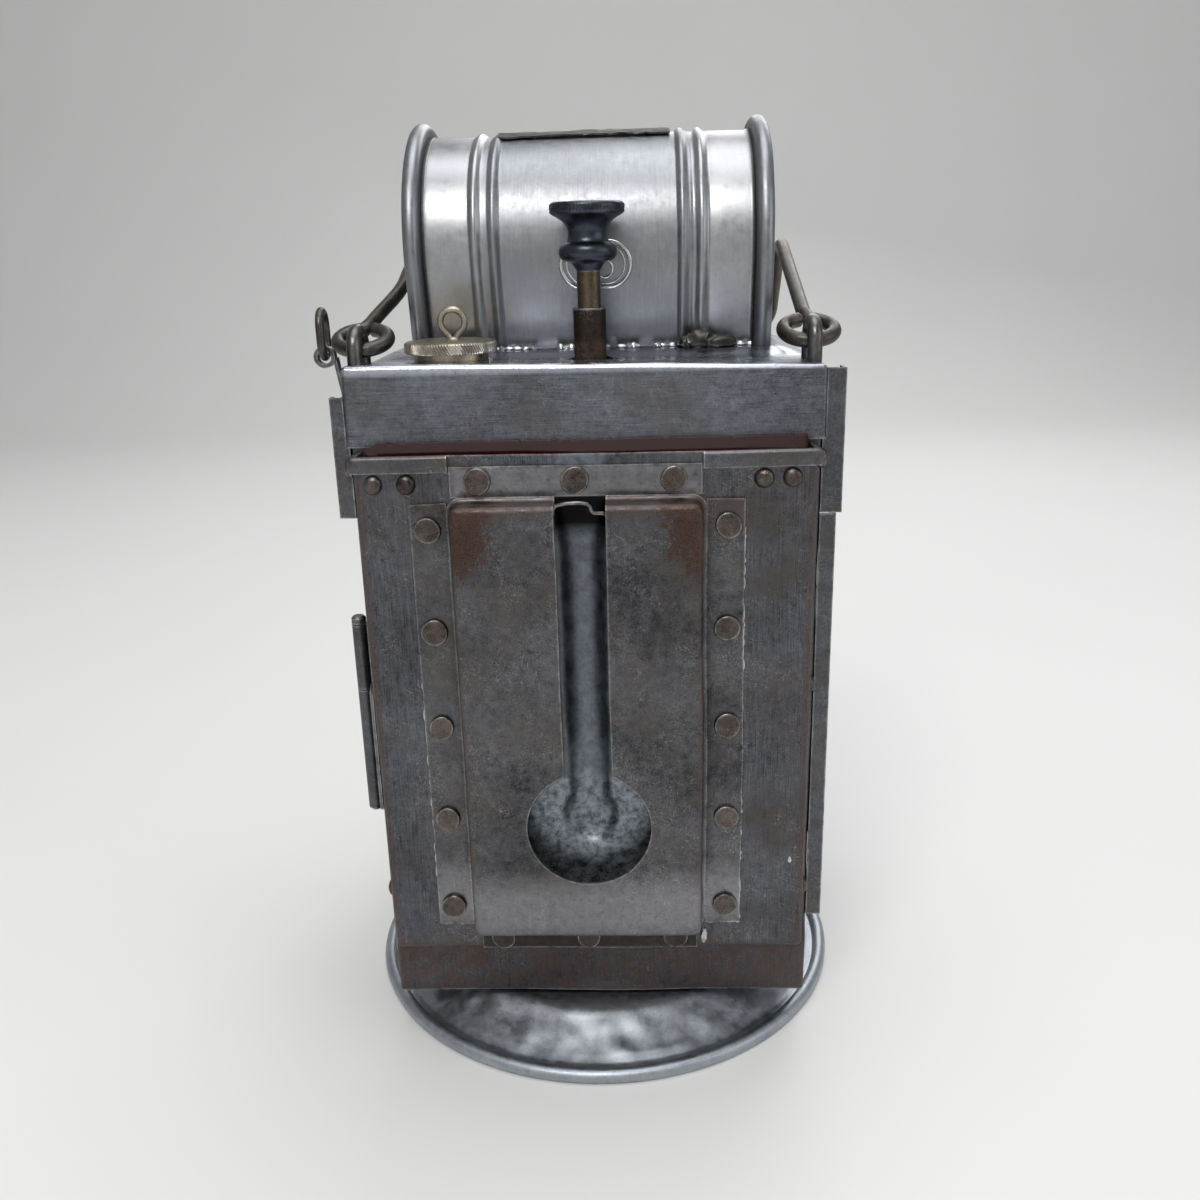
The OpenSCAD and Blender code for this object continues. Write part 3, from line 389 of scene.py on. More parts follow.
# ------------------------------------------------------------------ materials
class Finish:
    """A material being built: each method adds a node and gives back its output."""

    def __init__(self, name):
        self.material = bpy.data.materials.new(name)
        self.material.use_nodes = True
        self.tree = self.material.node_tree
        self.shader = self.tree.nodes["Principled BSDF"]
        coords = self.add("TexCoord", {}, output="Object")
        self.place = self.add("Mapping", {"Vector": coords, "Scale": (1000, 1000, 1000)})
        self.split = self.tree.nodes.new("ShaderNodeSeparateXYZ")
        self.tree.links.new(self.place, self.split.inputs[0])
        self.x, _, self.z = self.split.outputs

    def add(self, kind, inputs, output=0, **settings):
        node = self.tree.nodes.new("ShaderNode" + kind)
        for key, value in settings.items():
            setattr(node, key, value)
        for key, value in inputs.items():
            if isinstance(value, bpy.types.NodeSocket):
                self.tree.links.new(value, node.inputs[key])
            else:
                node.inputs[key].default_value = value
        return node.outputs[output]

    def noise(self, scale, detail=4.0, rough=0.55, warp=0.0, where=None):
        return self.add("TexNoise", {
            "Vector": where or self.place, "Scale": scale, "Detail": detail,
            "Roughness": rough, "Distortion": warp,
        })

    def span(self, value, low, high, start=0.0, end=1.0):
        return self.add("MapRange", {0: value, 1: low, 2: high, 3: start, 4: end})

    def math(self, operation, a, b=0.0):
        return self.add("Math", {0: a, 1: b}, operation=operation)

    def times(self, a, b):
        return self.math("MULTIPLY", a, b)

    def plus(self, a, b):
        return self.math("ADD", a, b)

    def minus(self, a, b):
        return self.math("SUBTRACT", a, b)

    def most(self, a, b):
        return self.math("MAXIMUM", a, b)

    def mix(self, fac, a, b):
        return self.add("Mix", {0: fac, 6: colour(a), 7: colour(b)}, output=2, data_type="RGBA")

    def streaks(self, rotation, length, width, low, high):
        """Thin lines along one direction: scratches and brush marks."""
        where = self.add("Mapping", {
            "Vector": self.place, "Rotation": tuple(math.radians(a) for a in rotation),
            "Scale": (length, width, width),
        }, vector_type="TEXTURE")
        return self.span(self.noise(1.0, 2.5, 0.5, where=where), low, high)

    def scratches(self):
        """Fine straight scratches, here and there."""
        total = 0.0
        sets = ((0, 24, 0), 8, 0.14), ((0, -61, 8), 6, 0.12), ((0, 96, 20), 10, 0.14)
        for rotation, length, width in sets:
            total = self.most(self.streaks(rotation, length, width, 0.68, 0.74), total)
        return self.times(total, self.span(self.noise(0.07, 2.0), 0.48, 0.6))

    def curls(self, scale, width):
        """Thin curling lines, as wiped and weathered tin shows."""
        away = self.math("ABSOLUTE", self.minus(self.noise(scale, 2.5, 0.6, 1.4), 0.5))
        where = self.span(self.noise(0.11, 3.0), 0.46, 0.62)
        return self.times(self.span(away, 0.0, width, 1.0, 0.0), where)

    def edges(self, radius):
        """1 at folds and rims, 0 on flat sheet."""
        round_normal = self.add("Bevel", {"Radius": radius * MM}, samples=4)
        true_normal = self.add("NewGeometry", {}, output="Normal")
        same = self.add("VectorMath", {0: round_normal, 1: true_normal}, output="Value",
                        operation="DOT_PRODUCT")
        return self.span(same, 0.995, 0.86)

    def band(self, axis, at, inner, outer):
        """1 within inner of a plane and 0 beyond outer."""
        away = self.math("ABSOLUTE", self.minus(self.split.outputs[axis], at))
        return self.span(away, inner, outer, 1.0, 0.0)

    def ragged(self, entry, mottle, low, high, least):
        """A band whose edge follows the mottle. least is its weakest part, as a share."""
        axis, at, inner, outer, strength = entry
        uneven = self.span(mottle, low, high, strength * least, strength)
        return self.times(self.band(axis, at, inner, outer), uneven)

    def distance(self, flat, x, z):
        return self.add("VectorMath", {0: flat, 1: (x, 0.0, z)}, output="Value", operation="DISTANCE")

    def bump(self, height, strength, distance):
        normal = self.add("Bump", {"Height": height, "Strength": strength, "Distance": distance * MM})
        self.tree.links.new(normal, self.shader.inputs["Normal"])

    def done(self, **inputs):
        for key, value in inputs.items():
            socket = self.shader.inputs[key.replace("_", " ")]
            if isinstance(value, bpy.types.NodeSocket):
                self.tree.links.new(value, socket)
            else:
                socket.default_value = colour(value) if isinstance(value, tuple) else value
        return self.material


def colour(value):
    if isinstance(value, tuple) and len(value) == 3:
        return (*value, 1.0)
    return value


RUST = (0.040, 0.021, 0.014)
RUST_LIGHT = (0.105, 0.056, 0.038)
BRIGHT = (0.62, 0.61, 0.60)
# near-black, for soot and for painted shade
SHADE_AND_SOOT_BLACK = (0.010, 0.009, 0.009)


def worn_metal(name, dark, light, rough, rust=0.0, shine=0.35, pits=0.5, wear=0.8, bands=(), tint=None,
               brushed=None, contrast=1.0, polish_and_light=(), grime_and_shade=(), extra=None, relief=0.5):
    """Old metal: clouded, wiped and pitted, bright at its edges. bands are brown with rust, lighter ones are
    cleaner metal lightened as painted light, and dark ones are soot and painted shade, each as (axis, at, inner,
    outer, strength)."""
    f = Finish(name)
    cloud = f.noise(0.035, 5.0, 0.6, 0.4)
    mottle = f.noise(0.36, 9.0, 0.72, 0.2)
    grain = f.noise(2.6, 4.0, 0.68)
    lines = f.most(f.scratches(), f.times(f.curls(0.5, 0.012), 0.8))
    lines = f.most(lines, f.times(f.span(f.noise(1.7, 4.0, 0.7), 0.66, 0.74), 0.6))
    tone = f.plus(f.plus(f.times(cloud, 0.30), f.times(mottle, 0.38)), f.times(grain, 0.32))
    if brushed:
        wipe = f.add("Mapping", {"Vector": f.place, "Scale": brushed}, vector_type="TEXTURE")
        brush = f.noise(1.0, 3.0, 0.6, where=wipe)
        tone = f.plus(f.times(tone, 0.74), f.times(brush, 0.26))
    middle = 0.14 / contrast
    shade = f.mix(f.span(tone, 0.5 - middle, 0.5 + middle), dark, light)
    if tint:
        shade = f.mix(f.span(f.noise(0.06, 4.0, 0.6), 0.45, 0.7, 0.0, 0.7), shade, tint)
    clean = 0.0
    # lighter bands: cleaner, smoother metal, with painted light laid on as a brighter colour
    for entry in polish_and_light:
        wiped = f.ragged(entry, mottle, 0.3, 0.6, 0.6)
        shade = f.mix(wiped, shade, tuple(min(0.62, c * 2.1) for c in light))
        clean = f.most(wiped, clean)
    spots = f.span(f.noise(0.9, 5.0, 0.7), 0.6, 0.68)
    shade = f.mix(f.times(spots, pits), shade, tuple(c * 0.3 for c in dark))
    shade = f.mix(f.times(lines, shine), shade, BRIGHT)
    patches = f.span(f.noise(0.16, 6.0, 0.65, 0.5), 0.52, 0.64)
    stain = f.times(patches, rust)
    for entry in bands:
        stain = f.most(stain, f.ragged(entry, mottle, 0.38, 0.58, 0.0))
    brown = f.mix(f.span(grain, 0.35, 0.65), RUST, RUST_LIGHT)
    shade = f.mix(stain, shade, brown)
    # dark bands: soot, and painted shade laid on where shade falls
    soot_and_shade = 0.0
    for entry in grime_and_shade:
        soot_and_shade = f.most(f.ragged(entry, mottle, 0.25, 0.5, 0.7), soot_and_shade)
    shade = f.mix(soot_and_shade, shade, SHADE_AND_SOOT_BLACK)
    if extra:
        shade = extra(f, shade, mottle, grain)
    rim = f.times(f.edges(0.8), f.span(mottle, 0.38, 0.6, 0.2, 1.0))
    rim = f.times(rim, wear)
    shade = f.mix(rim, shade, BRIGHT)
    gloss = f.plus(f.span(mottle, 0.3, 0.7, rough - 0.08, rough + 0.12), f.times(stain, 0.2))
    gloss = f.minus(gloss, f.times(rim, 0.1))
    gloss = f.minus(gloss, f.times(clean, 0.16))
    bumps = f.plus(f.times(mottle, 0.6), f.times(grain, 0.22))
    bumps = f.minus(bumps, f.times(f.plus(lines, spots), 0.2))
    f.bump(bumps, relief, 0.12)
    metal = f.span(f.most(stain, soot_and_shade), 0.0, 1.0, 1.0, 0.4)
    return f.done(Base_Color=shade, Roughness=gloss, Metallic=metal)


def glass(name, tint, rough, alpha=1.0):
    f = Finish(name)
    smear = f.span(f.noise(0.12, 5.0, 0.6, 0.6), 0.45, 0.75, rough, rough + 0.12)
    f.bump(f.noise(0.08, 3.0), 0.15, 0.2)
    return f.done(Base_Color=tint, Roughness=smear, Transmission_Weight=alpha, IOR=1.5)


def soft(name, dark, light, scale, rough):
    """Leather or woven cotton."""
    f = Finish(name)
    weave = f.noise(scale, 6.0, 0.7)
    f.bump(weave, 0.5, 0.2)
    return f.done(Base_Color=f.mix(f.span(weave, 0.35, 0.65), dark, light), Roughness=rough)


pocket = Place("pocket_plate")
bracket = Place("hanger_bracket")
drum_middle = Place("drum_shell").x

KEYHOLE = (-1.0, 77.5)          # centre of the keyhole's circle, x and z
BOX_HALF = 32.25                # half width of the bracket's raised box, and its ends
BOX_LOW, BOX_TOP = 43.0, 168.0
FLANGE_HALF = 43.25             # half width with the flanges
DECK = 200.0                    # level of the cover's folded edge
UPRIGHT = (0.3, 0.3, 9.0)       # the way a sheet was wiped
SIDEWAYS = (9.0, 0.3, 0.3)


def corner_rust(f, shade, mottle, grain):
    """Dark rust at the raised face's upper corners, thinning out downwards."""
    flat = f.add("CombineXYZ", {0: f.x, 2: f.times(f.z, 0.55)})
    brown = f.mix(f.span(grain, 0.35, 0.65), RUST, RUST_LIGHT)
    face = f.times(f.band(0, bracket.x, 31.6, 32.4), f.span(f.z, 168.2, 167.2))
    for side in (-1, 1):
        away = f.distance(flat, bracket.x + side * 31.5, 0.55 * 167.0)
        reach = f.plus(f.span(away, 2.0, 22.0, 0.5, -0.25), mottle)
        shade = f.mix(f.times(face, f.span(reach, 0.66, 0.78, 0.0, 0.8)), shade, brown)
    return shade


def keyhole_crust_light_and_shade(f, shade, mottle, grain):
    """The plate seen through the keyhole: a blue-grey tone lightened as painted light for the shaded recess, a
    pale crust behind the lower edge that is also painted light, a steel tone in the groove, and painted shade,
    near-black, at the slot's upper end.
    """
    flat = f.add("CombineXYZ", {0: f.x, 2: f.z})
    away = f.distance(flat, KEYHOLE[0], KEYHOLE[1] - 5.0)
    inside = f.span(away, 19.0, 17.5)
    low = f.span(f.z, 68.0, 60.0)
    speck = f.span(f.plus(f.times(grain, 0.6), f.times(mottle, 0.4)), 0.42, 0.54)
    # a pale crust, widened so that it also lightens the recess that the box face shades: partly painted light
    crust_and_light = f.times(f.times(f.span(away, 10.5, 14.5), low), speck)
    # the plate's blue-grey tone, made lighter to stand in for light in the shaded recess: partly painted light
    blue_and_light = f.mix(f.span(mottle, 0.4, 0.6), (0.085, 0.10, 0.115), (0.36, 0.40, 0.44))
    shade = f.mix(f.times(inside, 0.7), shade, blue_and_light)
    shade = f.mix(f.times(crust_and_light, inside), shade, (0.92, 0.95, 0.97))
    trough = f.times(f.band(0, KEYHOLE[0], 5.0, 7.0), f.span(f.z, 80.0, 92.0))
    steel = f.mix(f.span(mottle, 0.4, 0.6), (0.12, 0.135, 0.155), (0.21, 0.235, 0.275))
    shade = f.mix(f.times(trough, 0.75), shade, steel)
    # painted shade: near-black at the slot's upper end, where the box face shades the plate
    slot = f.times(f.band(0, KEYHOLE[0], 6.8, 8.0), f.span(f.z, 157.0, 161.5))
    slot = f.times(slot, f.span(f.z, 170.0, 168.5))
    return f.mix(slot, shade, SHADE_AND_SOOT_BLACK)


def greys(level):
    return (level, level, level)


def both_sides(centre, away, *rest):
    """The same band on both sides of a middle plane."""
    return tuple((0, centre + side * away, *rest) for side in (-1, 1))


METALS = {
    # name: darkest colour, lightest colour, roughness, and what else differs
    "tinned_sheet": ((0.048, 0.05, 0.056), (0.165, 0.17, 0.188), 0.40, dict(
        rust=0.12, tint=(0.10, 0.088, 0.076), contrast=1.2)),
    "drum_tin": ((0.19, 0.195, 0.208), (0.34, 0.346, 0.363), 0.40, dict(
        shine=0.12, pits=0.15, wear=0.45, relief=0.2, brushed=(0.5, 7.0, 7.0), tint=(0.23, 0.245, 0.27),
        # light bands at the ends: more polished tin, and painted highlight standing in for the bright band
        # between the end caps and the ribs
        polish_and_light=both_sides(drum_middle, 36.8, 6.5, 9.0, 0.3),
        # darker in the narrow grooves by the end caps and along the drum's foot
        grime_and_shade=both_sides(drum_middle, 45.2, 0.35, 1.0, 0.9) + ((2, 202.0, 1.2, 4.5, 0.6),))),
    "foot_tin": ((0.25, 0.27, 0.30), (0.50, 0.53, 0.575), 0.43, dict(pits=0.25, relief=0.45)),
    "bare_steel": (greys(0.09), greys(0.22), 0.38, dict(rust=0.2)),
    "dark_steel": ((0.022, 0.018, 0.016), (0.06, 0.047, 0.040), 0.46, dict(
        rust=0.25, wear=1.0, bands=((2, 202.0, 1.5, 5.0, 0.9),))),
    "wire": ((0.045, 0.042, 0.037), (0.12, 0.11, 0.095), 0.36, dict(rust=0.4, wear=0.5)),
    "rivet": ((0.04, 0.032, 0.028), (0.15, 0.128, 0.114), 0.34, dict(
        # the dark band at z 38.9 is painted shade on the bottom row of rivets, under the raised box
        rust=0.2, wear=1.3, contrast=1.5, grime_and_shade=((2, 38.9, 3.4, 5.0, 0.6),))),
    "knob_black": ((0.028, 0.032, 0.042), (0.075, 0.082, 0.10), 0.30, dict(
        wear=0.35, shine=0.15, relief=0.25)),
    "brass": ((0.15, 0.122, 0.082), (0.50, 0.43, 0.31), 0.32, dict(
        wear=0.7, tint=(0.34, 0.33, 0.31), contrast=1.5)),
    "rod_brass": ((0.05, 0.042, 0.034), (0.17, 0.13, 0.085), 0.3, {}),
    "black_sheet": (greys(0.008), (0.03, 0.028, 0.026), 0.55, dict(wear=0.4)),
    "mirror_tin": (greys(0.5), greys(0.72), 0.12, dict(wear=0.2, pits=0.2, relief=0.1)),
    "solder": ((0.30, 0.31, 0.32), greys(0.72), 0.35, dict(pits=0.2)),
    "polished_tin": ((0.48, 0.48, 0.49), greys(0.74), 0.2, dict(pits=0.1, relief=0.15)),
    "staple_steel": (greys(0.07), (0.19, 0.185, 0.18), 0.32, dict(rust=0.3)),
    "dark_solder": ((0.025, 0.024, 0.022), (0.09, 0.088, 0.085), 0.4, dict(wear=0.6)),
    "case_sheet": ((0.038, 0.039, 0.044), (0.145, 0.15, 0.167), 0.40, dict(
        rust=0.1, wear=0.55, tint=(0.085, 0.072, 0.062), contrast=1.3, brushed=UPRIGHT,
        # the brown band is rust; the dark band near z 35 is a painted shadow under the pocket
        bands=((2, 22.0, 9.0, 15.0, 0.7),), grime_and_shade=((2, 35.0, 2.0, 8.0, 0.6),))),
    "cover_tin": ((0.062, 0.066, 0.077), (0.225, 0.236, 0.268), 0.35, dict(
        rust=0.05, shine=0.45, wear=1.0, tint=(0.11, 0.10, 0.092), contrast=1.4, brushed=SIDEWAYS,
        # the light band over the top face is cleaner tin, and painted light that makes the upward faces brighter
        polish_and_light=((2, 203.5, 2.4, 4.6, 1.0), (2, 203.5, 2.4, 4.6, 0.8)))),
    "pocket_sheet": ((0.032, 0.033, 0.038), (0.155, 0.16, 0.18), 0.36, dict(
        rust=0.05, wear=0.6, tint=(0.085, 0.072, 0.064), contrast=1.45, shine=0.55, relief=0.8,
        brushed=UPRIGHT, extra=keyhole_crust_light_and_shade,
        bands=((0, pocket.x0, 1.0, 2.8, 0.8), (0, pocket.x1, 1.0, 2.8, 0.8),
               (2, pocket.z0, 0.8, 2.4, 0.9)))),
    "bracket_sheet": ((0.034, 0.034, 0.037), (0.15, 0.15, 0.16), 0.36, dict(
        rust=0.04, wear=0.55, tint=(0.10, 0.088, 0.08), contrast=1.5, shine=0.6, relief=0.8,
        extra=corner_rust,
        bands=((2, 167.2, 0.4, 3.6, 0.7), (0, bracket.x + 32.0, 0.3, 1.5, 0.6),
               (0, bracket.x - 32.0, 0.3, 1.5, 0.6), (2, 39.0, 3.6, 4.6, 0.85)),
        # at z 52 a painted highlight on the raised box's lower part; at z 172.8 a lighter top flange; the dark
        # band at z 39 is painted shade under the raised box, laid over the dark rust band there
        polish_and_light=((2, 52.0, 4.0, 13.0, 0.6), (2, 172.8, 3.4, 4.6, 0.5)), grime_and_shade=((2, 39.0, 3.2, 4.4, 0.75),))),
}
MATERIALS = {name: worn_metal(name, *tones, **more) for name, (*tones, more) in METALS.items()}
MATERIALS["red_glass"] = glass("red_glass", (0.055, 0.003, 0.004), 0.10, 0.5)
MATERIALS["clear_glass"] = glass("clear_glass", (0.9, 0.95, 0.94), 0.03)
MATERIALS["leather"] = soft("leather", (0.03, 0.014, 0.008), (0.09, 0.045, 0.025), 1.2, 0.7)
MATERIALS["wick_cotton"] = soft("wick_cotton", (0.35, 0.31, 0.25), (0.62, 0.58, 0.5), 1.6, 0.9)


# ------------------------------------------------------------------ case
case = Place("front_wall")
DOOR_HALF = 38.0       # half the width of the door's hole


def make_case():
    """The four walls, folded from one sheet with its seam at the rear."""
    hx, hy = case.x1, Place("rear_wall").y1
    seam, fold_r = 50.0, 1.4
    corners = [(-seam, hy), (-hx, hy), (-hx, -hy), (hx, -hy), (hx, hy), (-seam, hy)]
    route = rounded(corners, fold_r)
    length = sum((q - p).length for p, q in zip(route, route[1:]))
    shrink = 2 * fold_r - fold_r * math.pi / 2      # each fold shortens the route by this
    to_left = (hx - seam) + hy
    to_right = to_left + 2 * hy + 2 * hx
    to_rear = to_right + hy + hx
    door = Place("side_door")
    window = Place("side_window")
    lens = Place("lens")
    z0, z1 = case.z0, case.z1

    def hole(mid, half, low, high):
        return rounded(box(mid - half, low, mid + half, high), 3.0, True)

    holes = [
        hole(to_left - shrink, DOOR_HALF, door.z0 + 6, door.z1 - 6),
        hole(to_right - 3 * shrink, window.y1 - 3, window.z0 + 3, window.z1 - 3),
        arc((to_rear - 4 * shrink, lens.z), (lens.x1 - lens.x0) / 2 - 2, 0, 352.5, 47),
    ]
    bm = blank(box(0, z0, length, z1), holes,
               route_cuts(route, 9.0), spread(z0, z1, 9.0))
    wrap(bm, route)
    piece("case_walls", bm, "case", "tinned_sheet", ("front_wall", "rear_wall", "left_wall", "right_wall"),
          worn=1, sheet=SHEET, rim=CUT_EDGE, look="case_sheet")


def make_foot():
    """The dished foot with its rolled rim, dented by use."""
    foot = Place("foot")
    top, rim_r = foot.z1, foot.x1
    bead_r, flat_r = 2.2, 55.0
    sunk = 2.3          # the flat lies a little under the case, which leaves a dark gap
    top -= sunk
    shoulder = Vector((flat_r + 1.4, top - 0.9))
    profile = [(0.0, top), (flat_r - 20, top), (flat_r - 2, top), (flat_r, top - 0.2),
               (flat_r + 1.4, top - 0.9)]
    slope = Vector((rim_r - 8.5, 3.4)) - shoulder
    for k in range(1, 13):
        p = shoulder + slope * k / 12
        profile.append((p.x, p.y - 0.5 * math.sin(math.pi * k / 12)))
    profile += [(rim_r - 7, 2.5), (rim_r - 5.8, 2.2), (rim_r - 4.7, 2.4)]
    bead = arc((rim_r - bead_r, bead_r - 0.2), bead_r, 172, -64, 14)
    profile += [(p.x, max(0.0, p.y)) for p in bead]
    profile += [(rim_r - 3.4, 0.6), (rim_r - 5.8, 1.3), (rim_r - 8.8, 2.5), (flat_r + 1, top - 2.6),
                (flat_r - 0.5, top - SHEET), (0.0, top - SHEET)]

    def dented(angle, r, h):
        slope_part = soft_step(r, flat_r, flat_r + 5) * fade(r, rim_r - 9, rim_r - 6)
        x, y = r * math.cos(angle), r * math.sin(angle)
        dip = uneven(x / 7.0, y / 7.0, 2.0) * 0.75 + uneven(x / 4.0, y / 4.0, 5.0) * 0.25
        rim_part = soft_step(r, rim_r - 5, rim_r - 3)
        wave = uneven(math.cos(angle) * 4, math.sin(angle) * 4, 1.0) * 0.25
        return r + min(0.0, wave) * rim_part, max(0.0, h + dip * slope_part * 0.9)

    bm = bmesh.new()
    lathe(bm, profile[::-1], 320, shape=dented)
    piece("foot_dish", bm, "case", "foot_tin", ("foot",))


def make_cover():
    """The cover: a folded skirt, a raised crown, and holes for the key and the filler."""
    cover = Place("top_cover")
    drum = Place("drum_shell")
    sleeve = Place("key_sleeve")
    collar = Place("cap_collar")
    hx, hy = cover.x1, cover.y1
    route = rounded(box(-hx, -hy, hx, hy), 1.3, True)
    rim = fold_profile(cover.z0, DECK, 1.5)
    profile = [(0.25, cover.z0), (0.1, cover.z0 + 1.2)] + rim[1:]
    throat_x, throat_y = 36.0, 18.0
    throat = box(-throat_x, drum.y - throat_y, throat_x, drum.y + throat_y)
    key_hole = arc((sleeve.x, sleeve.y), 6.4, 0, 345, 23)
    cap_hole = arc((collar.x, collar.y), (collar.x1 - collar.x0) / 2 + 0.1, 0, 348, 29)
    bm = pan(route, profile, True, holes=[throat, key_hole, cap_hole],
             cuts_a=spread(-hx, hx, 4.0), cuts_b=spread(-hy, hy, 4.0) + [-28.5, -27.0, -25.5])
    crown = cover.z1 - DECK

    def crowned(a, b, h):
        t = (a + hx) / (2 * hx)
        lift = (1.9 - 0.5 * t - 1.4 * t * t) * fade(b, -44.0, -20.0) * soft_step(h, 190.0, 199.5)
        if h < DECK - 0.01:
            return a, b, h + lift
        mask = soft_step(b, -31.0, -19.0) * fade(b, 42.0, 48.0) * fade(abs(a), 54.5, 61.5)
        wrinkle = uneven(a / 6.0, b / 4.0, 3.0) * 0.22
        return a, b, h + lift * (1 - mask) + crown * mask + wrinkle

    piece("cover_sheet", bm, "case", "tinned_sheet", ("top_cover",), relief=crowned, worn=1,
          sheet=SHEET, rim=CUT_EDGE, look="cover_tin")


def make_pocket():
    """The pocket plate with its pressed groove."""
    hx, face = pocket.x1, -pocket.y0
    wall = -case.y0
    z0, z1 = pocket.z0, pocket.z1
    route = rounded([(-hx, z1), (-hx, z0), (hx, z0), (hx, z1)], 1.6)
    profile = fold_profile(wall, face, 1.1)
    groove_x, bowl_z, groove_top = -1.0, KEYHOLE[1] - 0.5, 164.0
    dense = spread(groove_x - 11, groove_x + 11, 1.0)
    bm = pan(route, profile, False,
             cuts_a=spread(-hx, groove_x - 11, 6.0) + dense + spread(groove_x + 11, hx, 6.0),
             cuts_b=spread(z0, 60, 6.0) + spread(60, 90, 1.4) + spread(90, z1, 3.5))

    def pressed(a, b, h):
        if h < face - 0.01:
            return a, b, h
        across = abs(a - groove_x) / 6.2
        ends = soft_step(b, 74, 80) * fade(b, groove_top - 6, groove_top + 1)
        groove = max(0.0, 1 - across ** 2.4) * 3.3 * ends
        away = math.hypot(a - groove_x, (b - bowl_z) * 0.95) / 8.4
        bowl = max(0.0, 1 - away ** 3) * 3.6
        pit = max(0.0, 1 - (abs(a - groove_x) / 6.6) ** 6) * 2.6
        pit *= soft_step(b, 158, 161) * fade(b, 167.5, 169)
        return a, b, h - max(groove, bowl, pit)

    piece("pocket_front", bm, "case", "tinned_sheet", ("pocket_plate",), view=from_front, relief=pressed,
          worn=1, sheet=SHEET, rim=CUT_EDGE, look="pocket_sheet")


def make_hems():
    """Folded strips along the pocket's top edge, wrapped round its corners."""
    hem = Place("pocket_hems")
    inner_left, inner_right = bracket.x - BOX_HALF - 0.3, bracket.x + BOX_HALF + 0.3
    top, low = hem.z1 - 0.3, hem.z0
    face = -hem.y0
    profile = [(-1.2, low), (-0.3, low - 0.15), (0.0, low + 0.4), (0.05, low + 2.2), (0.0, top - 1.0)]
    profile += arc((-1.0, top - 1.0), 1.0, 20, 160, 7)
    profile += [(-2.0, top - 1.6), (-2.0, top - 2.6), (-1.25, top - 2.6), (-1.2, top - 1.2)]
    for name, corners in (
        ("hem_left", [(-hem.x1, -50.1), (-hem.x1, -face), (inner_left, -face)]),
        ("hem_right", [(inner_right, -face), (hem.x1, -face), (hem.x1, -50.1)]),
    ):
        route = rounded(corners, 1.7, step=12)
        dense = [route[0]]
        for p, q in zip(route, route[1:]):
            steps = max(1, round((q - p).length / 2.5))
            dense += [p.lerp(q, k / steps) for k in range(1, steps + 1)]
        bm = bmesh.new()
        rows = skirt_rows(bm, dense, profile + profile[:1], False)
        for row, flip in ((rows[0], False), (rows[-1], True)):
            loop = row[:-1]
            bm.faces.new(loop[::-1] if flip else loop)
        piece(name, bm, "case", "tinned_sheet", ("pocket_hems",), worn=1, sharp=50)


def rivet_head(bm, x, z, face, profile, lean=2.0):
    """One head, facing the front, a little out of true."""
    tilt = Matrix.Rotation(math.radians(rng.uniform(-lean, lean)), 3, "X")
    tilt = tilt @ Matrix.Rotation(math.radians(rng.uniform(-lean, lean)), 3, "Y")
    grow = rng.uniform(0.97, 1.03)
    squash = rng.uniform(-0.03, 0.03)
    angle0 = rng.uniform(0, 6.28)

    def shape(angle, r, h):
        return r * grow * (1 + squash * math.cos(2 * (angle - angle0))), h

    rows = lathe(bm, profile, 40, (x, z), shape, tilt)
    for row in rows:
        for v in row:
            v.co.z += face


def make_rivets():
    flat_r, flat_h = 3.5, 1.2
    flat = [(0.0, -0.3), (flat_r, -0.3), (flat_r, flat_h * 0.62)]
    flat += arc((flat_r - 0.4, flat_h - 0.4), 0.4, 20, 90, 4)
    flat += [(flat_r * 0.55, flat_h + 0.06), (0.0, flat_h + 0.08)]
    bm = bmesh.new()
    face = -bracket.y0 - 8.0 + SHEET
    column = 39.0 - 0.3
    for side in (-1, 1):
        for i in range(5):
            x = bracket.x + side * (column if side < 0 else column + 0.3)
            rivet_head(bm, x, 49.5 + i * 27.87, face, flat)
    for x in (-25, 0, 25):
        rivet_head(bm, bracket.x + x, 173.4, face, flat)
        rivet_head(bm, bracket.x + x, 38.9, face, flat)
    piece("flat_rivets", bm, "case", "rivet", ("bracket_rivets",), view=from_front, worn=1)

    dome_r, dome_h = 2.5, 1.8
    dome = [(0.0, -0.3), (dome_r, -0.3), (dome_r, 0.3)]
    dome += [(dome_r * math.cos(a), 0.3 + (dome_h - 0.3) * math.sin(a)) for a in degrees(15, 90, 15)]
    dome += [(0.0, dome_h)]
    bm = bmesh.new()
    for x in (-54.3, -45.8, 45.8, 53.0):
        rivet_head(bm, x, pocket.z1 - 7.2, -pocket.y0, dome)
    piece("round_rivets", bm, "case", "rivet", ("pocket_rivets",), view=from_front, worn=1)
    for name, view, sign in (("left_rivets", from_left, 1), ("right_rivets", from_right, -1)):
        bm = bmesh.new()
        mid_y = (case.y0 + pocket.y0) / 2
        middle = (pocket.z0 + pocket.z1) / 2
        for i, z in enumerate((pocket.z1 - 3.3, middle + 7.5, pocket.z0 + 17.8)):
            rivet_head(bm, -mid_y if sign > 0 else mid_y, z, pocket.x1 + (1.2 if i == 0 else 0.0), dome)
        piece(name, bm, "case", "rivet", ("pocket_rivets",), view=view, worn=1)


